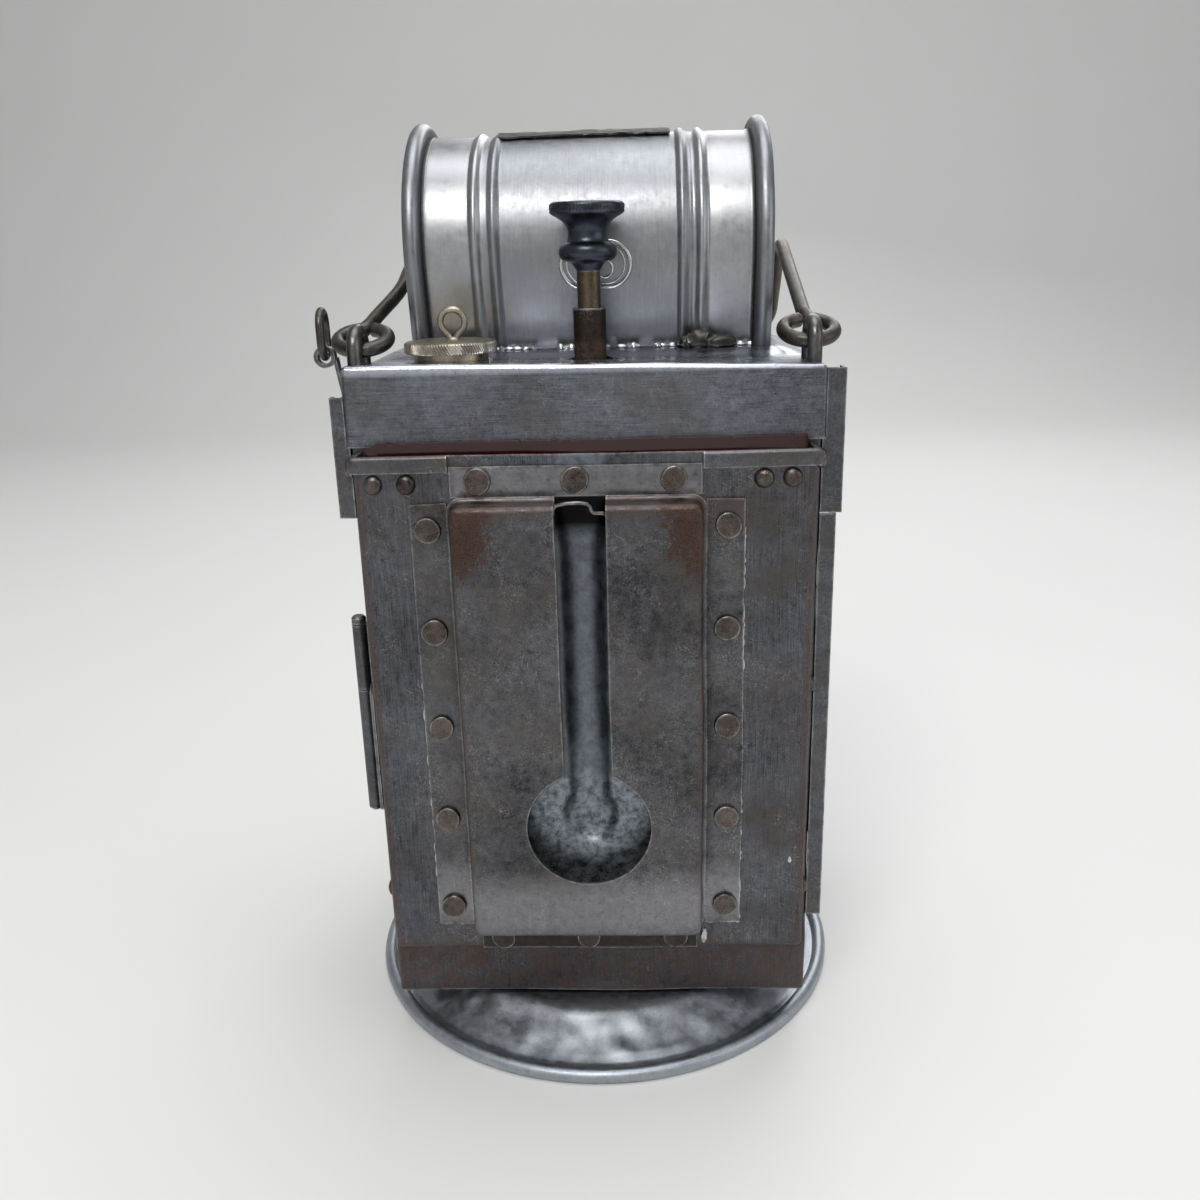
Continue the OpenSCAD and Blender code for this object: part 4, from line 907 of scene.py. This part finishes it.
def make_bracket():
    """The raised keyhole bracket: a pressed box open at its slot, and four riveted flanges."""
    cx = bracket.x
    half, z0, z1 = BOX_HALF, BOX_LOW, BOX_TOP
    level, face = -pocket.y0 + SHEET, -bracket.y0
    slot_x, slot_half, hole_r, hole_z = KEYHOLE[0], 6.5, 17.0, KEYHOLE[1]
    route = [(slot_x - slot_half, z1), (cx - half, z1), (cx - half, z0), (cx + half, z0),
             (cx + half, z1), (slot_x + slot_half, z1)]
    route = rounded(route, 2.6, step=12)
    profile = arc((1.3, level + 1.3), 1.3, 270, 180, 5) + arc((-1.7, face - 1.7), 1.7, 0, 90, 6)
    opening = math.degrees(math.asin(slot_half / hole_r))
    circle = arc((slot_x, hole_z), hole_r, 90 - opening, 90 + opening - 360, 56)
    edge = z1 - 1.7
    extra = [Vector((slot_x + slot_half, edge - 3))] + circle + [Vector((slot_x - slot_half, edge - 3))]
    bm = pan(route, profile, False, extra=extra,
             cuts_a=spread(cx - half, cx + half, 4.0), cuts_b=spread(z0, z1, 4.0))
    flare = half + 1.2
    wide = FLANGE_HALF
    arms = [
        [(cx - wide, z0 + 0.3), (cx - flare, z0), (cx - flare, z1), (cx - wide, z1 - 0.3)],
        [(cx + flare, z0), (cx + wide, z0 + 0.4), (cx + wide, z1 - 0.2), (cx + flare, z1)],
        box(cx - half, z1 + 1.2, cx + half, 177.2),
        box(cx - half + 1, pocket.z0 + 0.4, cx + half - 1, z0 - 1.2),
    ]
    for arm in arms:
        fill(bm, [[bm.verts.new((p[0], p[1], level)) for p in arm]])
    slice_up(bm, spread(cx - wide, cx + wide, 5.0), spread(pocket.z0, 177.2, 5.0))
    piece("hanger_box", bm, "case", "tinned_sheet", ("hanger_bracket",), view=from_front, worn=1,
          sheet=SHEET, rim=CUT_EDGE, look="bracket_sheet")

    # the worn lip over the slot's open end, with its step
    bm = bmesh.new()
    rise = [(-7.0, -2.6), (-6.8, -0.9), (-6.0, 0.0), (-3.5, 0.6), (-0.5, 0.8), (1.8, 0.5),
            (2.6, -0.3), (2.9, -1.5), (3.6, -2.0), (5.6, -2.1), (6.6, -2.6)]
    lip = [Vector((slot_x + a, -(face - 0.9 - 0.02 * a * a), z1 + b)) for a, b in rise]
    sweep(bm, lip, 0.5, 12, wobble=0.12)
    piece("slot_lip", bm, "case", "bare_steel", (), look="staple_steel")


def bead_line(bm, start, end, low_r, high_r, filled, step=(1.5, 5.0)):
    """A ragged line of solder between two points."""
    start, end = Vector(start), Vector(end)
    length, at = (end - start).length, 0.0
    ahead = (end - start).normalized()
    while at < length:
        run = rng.uniform(*step)
        if rng.random() < filled:
            r = rng.uniform(low_r, high_r)
            side = Vector([rng.uniform(-0.2, 0.2) for _ in range(3)])
            points = [start + ahead * min(length, at + run * k / 4) + side * math.sin(k) for k in range(5)]
            sweep(bm, points, [r * 0.4, r * 0.9, r, r * 0.7, r * 0.3], 8, wobble=0.5)
        at += run


def lump(bm, centre, size, seed):
    """A rough blob of solder."""
    made = bmesh.ops.create_icosphere(bm, subdivisions=3, radius=1.0)
    for v in made["verts"]:
        grow = 1 + 0.35 * noise.noise(v.co * 1.6 + Vector((seed, 0, 0)))
        grow += 0.12 * noise.noise(v.co * 4 + Vector((0, seed, 0)))
        v.co = Vector(centre) + Vector([c * s * grow for c, s in zip(v.co, size)])


def make_solder():
    """Ragged solder along the bracket's flanges and the drum's foot."""
    bm = bmesh.new()
    level = pocket.y0 - 0.1
    outer = FLANGE_HALF
    bead_line(bm, (bracket.x + outer, level, 44), (bracket.x + outer, level, 160), 0.2, 0.45, 0.8)
    bead_line(bm, (bracket.x - outer, level, 45), (bracket.x - outer, level, 120), 0.2, 0.4, 0.7)
    bead_line(bm, (bracket.x - outer, level, 43), (bracket.x - 33, level, 43), 0.3, 0.55, 0.9, (1.0, 3.0))
    bead_line(bm, (bracket.x + 34, level, 43), (bracket.x + outer, level, 43), 0.3, 0.5, 0.9, (1.0, 3.0))
    lump(bm, (bracket.x - 41.5, level, 43.4), (1.5, 0.6, 0.7), 3.0)
    lump(bm, (bracket.x + 33.2, level - 0.2, 38.5), (0.9, 0.7, 2.2), 5.0)
    lump(bm, (55.0, level, 63.0), (0.5, 0.3, 0.9), 7.0)
    piece("flange_solder", bm, "case", "tinned_sheet", (), look="solder")
    drum = Place("drum_shell")
    bm = bmesh.new()
    front = drum.y0 + 0.2
    bead_line(bm, (-44, front + 3.2, 203.0), (46, front + 3.2, 203.0), 0.5, 1.0, 0.85, (1.5, 4.0))
    for x, seed in ((-24, 1.0), (-6, 2.0), (12, 4.0), (20, 6.0)):
        lump(bm, (x, front + 2.6, 203.0), (1.0, 0.8, 0.7), seed)
    piece("drum_solder", bm, "case", "drum_tin", (), look="solder")
    bm = bmesh.new()
    lump(bm, (31.5, front + 1.6, 204.6), (4.2, 2.2, 2.8), 8.0)
    lump(bm, (37.5, front + 1.4, 203.8), (4.5, 2.0, 1.9), 9.0)
    lump(bm, (27.2, front + 2.0, 203.6), (2.2, 1.6, 1.7), 11.0)
    piece("solder_lump", bm, "case", "drum_tin", (), look="dark_solder")


# ------------------------------------------------------------------ smoke drum
drum_box = Place("drum_ends")
shell_box = Place("drum_shell")
DRUM_R = 32.0
DRUM_LEAN = 12.0
DRUM_Y = shell_box.y
DRUM_Z = 229.0
DRUM_FOOT = 202.6


def arch(radius, foot=DRUM_FOOT, step=4.0, centre=(DRUM_Y, DRUM_Z)):
    """The drum's outline seen from the right, from its rear foot over the top to its front foot."""
    lean = math.radians(DRUM_LEAN)
    drop = centre[1] - foot
    low = radius * math.sin(lean)
    side = radius * math.cos(lean)
    foot_half = side - math.tan(lean) * (drop - low)
    rise = spread(0, 1, 4.0 / (drop - low))
    right = [Vector((foot_half, -drop))]
    right += [Vector((foot_half, -drop)).lerp(Vector((side, -low)), t) for t in rise]
    over = arc((0, 0), radius, -DRUM_LEAN, 180 + DRUM_LEAN, round((180 + 2 * DRUM_LEAN) / step))
    left = [Vector((-p.x, p.y)) for p in reversed(right)]
    return [Vector(centre) + p for p in right + over + left]


def make_drum():
    """The drum's shell with two pressed ribs near each end, and its wired end caps."""
    cx = (drum_box.x0 + drum_box.x1) / 2
    half = (shell_box.x1 - shell_box.x0) / 2
    ribs = [side * at for side in (-1, 1) for at in (25.8, 31.0)]
    xs = set([-half, half])
    xs.update(spread(-half, half, 3.5))
    for rib in ribs:
        xs.update(rib + d * 0.28 for d in range(-9, 10))
    profile = []
    for x in sorted(xs):
        lift = 0.0
        for rib in ribs:
            away = abs(x - rib)
            lift = max(lift, math.cos(min(1.0, away / 1.7) * math.pi / 2) ** 1.3 * 1.0)
            lift -= 0.16 * math.exp(-((away - 2.3) / 0.45) ** 2)
        profile.append((lift, cx + x))
    bm = bmesh.new()
    skirt_rows(bm, arch(DRUM_R, step=3.0), profile, False)
    middles = [(face, face.calc_center_median()) for face in bm.faces]
    slots = [face for face, at in middles if abs(at.z - cx) < 16 and at.y > DRUM_Z + 30.5]
    bmesh.ops.delete(bm, geom=slots, context="FACES")
    piece("drum_wrapper", bm, "case", "drum_tin", ("drum_shell",), view=from_right,
          worn=0.8, sheet=SHEET, rim=CUT_EDGE)

    # end caps: a flat plate, a flange over the shell and a rolled wire rim
    for side in (-1, 1):
        outer = drum_box.x1 if side > 0 else drum_box.x0
        route = arch(DRUM_R, step=4.0)
        bead = arc((1.55, -2.4), 2.38, -160, 150, 18)
        bm = bmesh.new()
        rim = [(0.12, -6.2), (0.3, -5.4), (0.12, -5.0)] + bead + [(0.1, -0.9), (-0.3, -1.1), (-1.5, -1.2)]
        rows = skirt_rows(bm, route, [(o, outer + side * h) for o, h in rim], False)
        fill(bm, [[row[-1] for row in rows]])
        if side < 0:
            bmesh.ops.reverse_faces(bm, faces=bm.faces[:])
        name = "drum_end_right" if side > 0 else "drum_end_left"
        piece(name, bm, "case", "drum_tin", ("drum_ends",), view=from_right, sheet=SHEET * 0.6, worn=0.8)


def make_vent():
    """A thin ragged plate that lies over the drum's slots."""
    vent = Place("vent_cover")
    z1 = vent.z1

    def ragged(p):
        away = shift(Vector((p[0] / 2.2, p[1] / 2.2, 4.0))) * 0.35
        return p[0] + away.x, p[1] + away.y

    edge = []
    corners = box(vent.x0, vent.y0, vent.x1, vent.y1)
    for p, q in zip(corners, corners[1:] + corners[:1]):
        p, q = Vector(p), Vector(q)
        steps = round((q - p).length / 1.3)
        edge += [ragged(p.lerp(q, k / steps)) for k in range(steps)]
    bm = blank(edge, (), spread(vent.x0, vent.x1, 2.5), spread(vent.y0, vent.y1, 2.5), height=z1)

    def bowed(a, b, h):
        ripple = uneven(a / 5.0, b / 5.0, 0) * 0.3
        return a, b, DRUM_Z + math.sqrt((DRUM_R + 1.1) ** 2 - (b - DRUM_Y) ** 2) + max(-0.2, ripple)

    piece("vent_plate", bm, "case", "black_sheet", ("vent_cover",), relief=bowed, worn=1, sheet=0.5)


def make_oval():
    """A plain oval pressing on the drum's front, with a raised outline."""
    oval = Place("oval_plate")
    cx, cz = oval.x, oval.z
    run, end_r = 3.5, 6.0
    front = arc((cx + run, cz), end_r, -90, 90, 16) + arc((cx - run, cz), end_r, 90, 270, 16)

    def on_drum(x, z, off):
        y = DRUM_Y - math.sqrt((DRUM_R + off) ** 2 - (z - DRUM_Z) ** 2)
        return Vector((x, y, z))

    bm = bmesh.new()
    sweep(bm, [on_drum(p.x, p.y, 0.1) for p in front], 0.62, 12, closed=True)
    middle = Vector((cx, cz))
    inner = [middle + (p - middle) * 0.84 for p in front]
    sweep(bm, [on_drum(p.x, p.y, 0.0) for p in inner], 0.3, 10, closed=True)
    ring = arc((cx + 2.3, cz - 1.2), 2.3, 0, 345, 23)
    sweep(bm, [on_drum(p.x, p.y, 0.0) for p in ring], 0.42, 10, closed=True)
    piece("oval_pressing", bm, "case", "drum_tin", ("oval_plate",), worn=0.8, look="polished_tin")


def make_glass():
    """The slide glass: a cut pane with small chips along its upper edge."""
    pane = Place("slide_glass")
    edge = [(pane.x0 + 0.2, pane.z0), (pane.x1 - 0.2, pane.z0)]
    x = pane.x1 - 0.2
    while x > pane.x0 + 1.5:
        chip = max(0.0, uneven(x / 1.7, 3.0, 0.0) - 0.15) * 1.6
        edge.append((x, pane.z1 - chip - (0.8 if x < pane.x0 + 3 else 0.0)))
        x -= 0.7
    edge.append((pane.x0 + 0.2, pane.z1 - 1.8))
    bm = blank(edge, (), (), spread(pane.z0, pane.z1, 24.0), height=-pane.y0)
    piece("glass_pane", bm, "glass", "red_glass", ("slide_glass",), view=from_front,
          sheet=pane.y1 - pane.y0, rim=0.25)


# ------------------------------------------------------------------ key
def make_key():
    knob = Place("key_knob")
    rod = Place("key_rod")
    sleeve = Place("key_sleeve")
    top, low = knob.z1, knob.z0
    r = (knob.x1 - knob.x0) / 2
    h = top - low
    profile = [(0.0, low), (3.1, low), (3.4, low + 0.3), (4.1, low + 1.5), (4.9, low + 2.3)]
    profile += arc((5.3, low + 4.7), 2.45, -75, 75, 14)
    profile += [(5.75, low + 7.25), (5.4, low + 7.9), (5.2, low + 8.7), (5.15, low + 9.5), (5.25, low + 10.3),
                (5.55, low + 11.1), (6.1, low + 11.9), (6.95, low + 12.7), (8.0, low + 13.4), (9.0, low + 13.9),
                (r - 0.35, low + 14.2), (r, low + 14.6), (r - 0.1, low + 15.2), (r, low + 15.7), (r, low + 16.4),
                (r - 0.3, low + h - 0.35), (r - 0.8, low + h - 0.05), (r - 1.8, low + h - 0.2),
                (r - 3.4, low + h - 0.3), (2.0, low + h - 0.15), (0.0, low + h - 0.15)]

    def notched(angle, radius, height):
        if radius > r - 1.0 and height < top - 0.5:
            radius += 0.05 * math.sin(angle * 70) * soft_step(height, low + 14.2, low + 14.6)
        return radius, height

    bm = bmesh.new()
    lathe(bm, profile, 210, (knob.x, knob.y), notched)
    piece("knob_turned", bm, "key", "knob_black", ("key_knob",), sharp=50)

    rod_r = 3.15
    bm = bmesh.new()
    profile = [(0.0, rod.z0), (rod_r - 0.3, rod.z0), (rod_r, rod.z0 + 0.3), (rod_r, 177.7), (rod_r + 3, 177.7),
               (rod_r + 3, 179.7), (rod_r, 179.7), (rod_r, DECK)]
    profile += [(rod_r - 0.02 + 0.03 * math.sin(z), DECK + z) for z in range(1, 24)]
    profile += [(rod_r, rod.z1), (0.0, rod.z1)]
    lathe(bm, profile, 64, (rod.x, rod.y))
    piece("rod_turned", bm, "key", "rod_brass", ("key_rod",))

    bm = bmesh.new()
    outer = (sleeve.x1 - sleeve.x0) / 2 - 1.6
    inner = 3.25
    flange = outer + 1.6
    profile = [(inner, sleeve.z0), (outer, sleeve.z0), (outer, sleeve.z0 + 1.2), (flange, sleeve.z0 + 1.2),
               (flange, sleeve.z0 + 2.4), (outer, sleeve.z0 + 2.4)]
    profile += [(outer + 0.05 * uneven(0, 0, z / 3.0), z) for z in range(188, 214, 2)]
    profile += [(outer, sleeve.z1 - 0.25), (outer - 0.2, sleeve.z1), (inner + 0.25, sleeve.z1),
                (inner, sleeve.z1 - 0.25), (inner, sleeve.z0)]
    lathe(bm, profile, 64, (sleeve.x, sleeve.y))
    piece("sleeve_turned", bm, "case", "dark_steel", ("key_sleeve",))


# ------------------------------------------------------------------ brass cap
def make_cap():
    cap = Place("brass_cap")
    r = (cap.x1 - cap.x0) / 2
    z0 = cap.z0 + 0.7
    edge_h = 2.8
    teeth = 100
    segments = teeth * 5
    bm = bmesh.new()
    levels = 12
    profile = [(11.5, z0 + 2.0), (11.5, z0 + 0.1), (11.7, z0), (r - 0.45, z0)]
    edge = [(r, z0 + 0.35 + (edge_h - 0.7) * k / levels) for k in range(levels + 1)]
    profile += edge + [(r - 0.4, z0 + edge_h), (r - 1.0, z0 + edge_h + 0.2), (r - 3.0, z0 + edge_h + 0.42),
                       (5.0, z0 + edge_h + 0.5), (1.6, z0 + edge_h + 0.5), (0.0, z0 + edge_h + 0.5)]
    profile = [(0.0, z0 + 2.0)] + profile

    def knurl(angle, radius, height):
        if radius > r - 0.1:
            phase = angle * teeth + (height - z0) * 4.6
            wave = abs((phase / math.pi) % 2 - 1)
            fade = 1 - 0.6 * soft_step(uneven(math.cos(angle) * 2, math.sin(angle) * 2, 7.0), 0.1, 0.4)
            radius -= 0.6 * wave * fade
        return radius, height

    lathe(bm, profile, segments, (cap.x, cap.y), knurl)
    piece("cap_knurled", bm, "cap", "brass", ("brass_cap",), sharp=35)

    loop = Place("cap_loop")
    top_r = 3.3
    cz = loop.z1 - 0.75 - top_r
    x = loop.x
    foot_z = z0 + edge_h + 0.4
    ring = arc((x, cz), top_r, -42, 222, 26)
    left = [Vector((x - 0.75, foot_z)), Vector((x - 0.8, foot_z + 1.0))]
    right = [Vector((x + 0.8, foot_z + 1.0)), Vector((x + 0.75, foot_z))]
    points = right[::-1] + ring + left[::-1]
    bm = bmesh.new()
    smooth = []
    for i, p in enumerate(points):
        before, after = points[max(0, i - 1)], points[min(len(points) - 1, i + 1)]
        q = (before + p * 2 + after) / 4
        smooth.append(Vector((q.x, loop.y, q.y)))
    sweep(bm, smooth, 0.88, 16, wobble=0.2)
    profile = [(0.0, foot_z - 0.3), (1.9, foot_z - 0.3), (1.9, foot_z + 0.2), (1.5, foot_z + 0.7),
               (0.0, foot_z + 0.8)]
    lathe(bm, profile, 24, (x, loop.y))
    piece("cap_wire_loop", bm, "cap", "brass", ("cap_loop",))

    collar = Place("cap_collar")
    out_r = (collar.x1 - collar.x0) / 2
    bm = bmesh.new()
    profile = [(10.0, collar.z0), (out_r, collar.z0), (out_r, 200.3), (out_r + 0.9, 200.5), (out_r + 0.9, 200.9),
               (out_r + 0.1, 201.1), (out_r - 0.2, collar.z1), (10.2, collar.z1), (10.0, collar.z1 - 0.2),
               (10.0, collar.z0)]
    lathe(bm, profile, 72, (collar.x, collar.y))
    piece("cap_collar_ring", bm, "case", "drum_tin", ("cap_collar",), look="polished_tin")


# ------------------------------------------------------------------ bail, staples, hook
def make_bail():
    """The wire bail: an eye at each end, two arms and a grip that passes behind the case."""
    wire_r = 2.0
    ring_r = 6.65
    rise = math.radians(20)
    hinge_y, hinge_z = -38.0, 205.0
    eye_x = 59.9
    spin = Matrix.Rotation(rise, 3, "X")
    reach = 97.5
    grip_angle = math.radians(24)
    grip_u, grip_w = reach * math.cos(grip_angle), -reach * math.sin(grip_angle)
    bend = math.radians(70)
    bend_r, corner_r = 9.0, 14.0
    drop = (-grip_w - bend_r * (1 - math.cos(bend))) / math.sin(bend)
    arm_u = grip_u - bend_r * math.sin(bend) - drop * math.cos(bend)
    # the arm's own plane: x outward, u along the arm, w square to it
    bend_end = Vector((arm_u + bend_r * math.sin(bend), -bend_r * (1 - math.cos(bend))))
    down = Vector((math.cos(bend), -math.sin(bend)))
    half = [Vector((eye_x + ring_r * math.sin(a), ring_r - ring_r * math.cos(a), 0.0))
            for a in degrees(196, 533, 8)]
    half.append(Vector((eye_x, 2 * ring_r + 4, 0)))
    u = 2 * ring_r + 8
    while u < arm_u - 1:
        half.append(Vector((eye_x, u, 0)))
        u += 6
    for a in [bend * k / 8 for k in range(9)]:
        half.append(Vector((eye_x, arm_u + bend_r * math.sin(a), -bend_r * (1 - math.cos(a)))))
    corner = bend_end + down * (drop - corner_r)
    half += [Vector((eye_x, *bend_end.lerp(corner, k / 4))) for k in range(1, 4)]
    for a in [math.pi / 2 * k / 12 for k in range(13)]:
        turn = corner + down * corner_r * math.sin(a)
        half.append(Vector((eye_x - corner_r * (1 - math.cos(a)), *turn)))
    half += [Vector((x, grip_u, grip_w)) for x in spread(0, eye_x - corner_r, 8.0)[::-1]]
    whole = half + [Vector((0, grip_u, grip_w))]
    for p in reversed(half):
        bent = 5.0 * soft_step(p.y, 12.0, 46.0) * p.x / eye_x
        whole.append(Vector((bent - p.x, p.y, p.z)))
    bm = bmesh.new()
    sweep(bm, [spin @ p + Vector((0, hinge_y, hinge_z)) for p in whole], wire_r - 0.03, 20, wobble=0.025)
    piece("bail_wire", bm, "bail", "wire", ("bail",))

    bm = bmesh.new()
    for side in (-1, 1):
        low = [Vector((side * eye_x, hinge_y - 5, DECK + z)) for z in (-0.9, 1.0, 3.0)]
        over = [Vector((side * eye_x, hinge_y - 5 * math.cos(a), hinge_z + 5 * math.sin(a)))
                for a in degrees(0, 181, 12)]
        back = [Vector((side * eye_x, hinge_y + 5, DECK + z)) for z in (3.0, 1.0, -0.9)]
        sweep(bm, low + over + back, 1.96, 20, wobble=0.03)
    piece("staple_wires", bm, "case", "wire", ("bail_staples",), look="staple_steel")


def make_hook():
    eye = Place("hook_eye")
    wire_r, bow, run = 1.1, 4.2, 3.0
    cx, cy, low_z = eye.x, eye.y, eye.z0 + wire_r + bow
    spin = Matrix.Rotation(math.radians(5), 3, "Z")
    loop = []
    for centre_z, start in ((low_z, 180), (low_z + run, 0)):
        for k in range(17):
            a = math.radians(start + 180 * k / 16)
            loop.append(Vector((0, bow * math.cos(a), centre_z + bow * math.sin(a))))
    points = [spin @ p + Vector((cx, cy, 0)) for p in loop]
    bm = bmesh.new()
    sweep(bm, points, wire_r, 18, closed=True, wobble=0.04)
    piece("hook_loop", bm, "case", "wire", ("hook_eye",))


# ------------------------------------------------------------------ stage
def make_stage():
    bm = bmesh.new()
    reach, back, rise = 7.0, 1.6, 2.6
    profile = [(-reach, 0.0), (back - 0.5, 0.0)]
    profile += [(back - 0.5 + 0.5 * math.sin(a), 0.5 - 0.5 * math.cos(a)) for a in degrees(10, 91, 10)]
    profile += [(back, rise)]
    rows = [[bm.verts.new((x, y, z)) for y, z in profile] for x in (-reach, reach)]
    for k in range(len(profile) - 1):
        bm.faces.new((rows[0][k], rows[1][k], rows[1][k + 1], rows[0][k + 1]))
    floor = drawn("floor", bm)
    floor.data.shade_smooth()
    f = Finish("floor_paint")
    tone = f.noise(0.004, 3.0)
    paint = f.mix(tone, (0.70, 0.70, 0.69), (0.74, 0.74, 0.73))
    floor.data.materials.append(f.done(Base_Color=paint, Roughness=0.7))


def make_light():
    world = bpy.data.worlds.new("studio")
    bpy.context.scene.world = world
    world.use_nodes = True
    tree = world.node_tree
    back = tree.nodes["Background"]
    back.inputs["Color"].default_value = (0.80, 0.81, 0.82, 1)
    back.inputs["Strength"].default_value = 0.42
    for name, place, aim, size, power, tone in (
        ("front_softbox", (-0.15, -0.85, 1.15), (0, 0, 0.15), (0.6, 0.4), 8.5, (1.0, 0.99, 0.97)),
        ("top_softbox", (0.1, 0.1, 1.4), (0, 0, 0.1), (0.9, 0.9), 8, (0.98, 0.99, 1.0)),
        ("front_fill", (-0.3, -1.25, 0.4), (0, 0, 0.1), (1.2, 0.6), 1.1, (1.0, 1.0, 1.0)),
        ("side_fill", (1.1, -0.5, 0.6), (0, 0, 0.12), (0.8, 0.8), 2.5, (0.95, 0.98, 1.0)),
        ("rear_light", (0.3, 1.1, 0.9), (0, 0, 0.15), (1.0, 0.5), 5, (1.0, 1.0, 1.0)),
    ):
        lamp = bpy.data.lights.new(name, "AREA")
        lamp.shape = "RECTANGLE"
        lamp.size, lamp.size_y = size
        lamp.energy = power
        lamp.color = tone
        obj = placed(name, lamp)
        obj.location = place
        obj.rotation_euler = (Vector(aim) - Vector(place)).to_track_quat("-Z", "Y").to_euler()


def make_camera():
    """The photograph's viewpoint."""
    pitch, yaw, roll = math.radians(17.61), math.radians(-1.96), math.radians(-1.48)
    ahead = Vector((math.sin(yaw) * math.cos(pitch), math.cos(yaw) * math.cos(pitch), -math.sin(pitch)))
    flat_right = Vector((math.cos(yaw), -math.sin(yaw), 0))
    flat_up = flat_right.cross(ahead)
    right = flat_right * math.cos(roll) + flat_up * math.sin(roll)
    up = flat_up * math.cos(roll) - flat_right * math.sin(roll)
    data = bpy.data.cameras.new("photo_camera")
    data.sensor_width = 36
    data.lens = 33.3
    data.clip_start = 0.01
    cam = placed("photo_camera", data)
    turn = Matrix((right, up, -ahead)).transposed().to_4x4()
    cam.matrix_world = Matrix.Translation((0.0128, -0.3372, 0.2295)) @ turn
    bpy.context.scene.camera = cam


for name, obj in frame["nodes"].items():
    slot = next(s["material_slot"] for s in frame["record"]["subparts"] if s["node"] == name)
    obj.data.materials.clear()
    obj.data.materials.append(MATERIALS[slot])
    obj.data.shade_smooth()
    obj.data.set_sharp_from_angle(angle=math.radians(35))

# the order matters: rivets and solder draw from one row of random numbers
for make in (make_camera, make_stage, make_light, make_case, make_foot, make_cover, make_pocket,
             make_hems, make_rivets, make_bracket, make_drum, make_vent, make_oval, make_glass,
             make_solder, make_key, make_cap, make_bail, make_hook):
    make()
bpy.context.scene.view_settings.view_transform = "Standard"
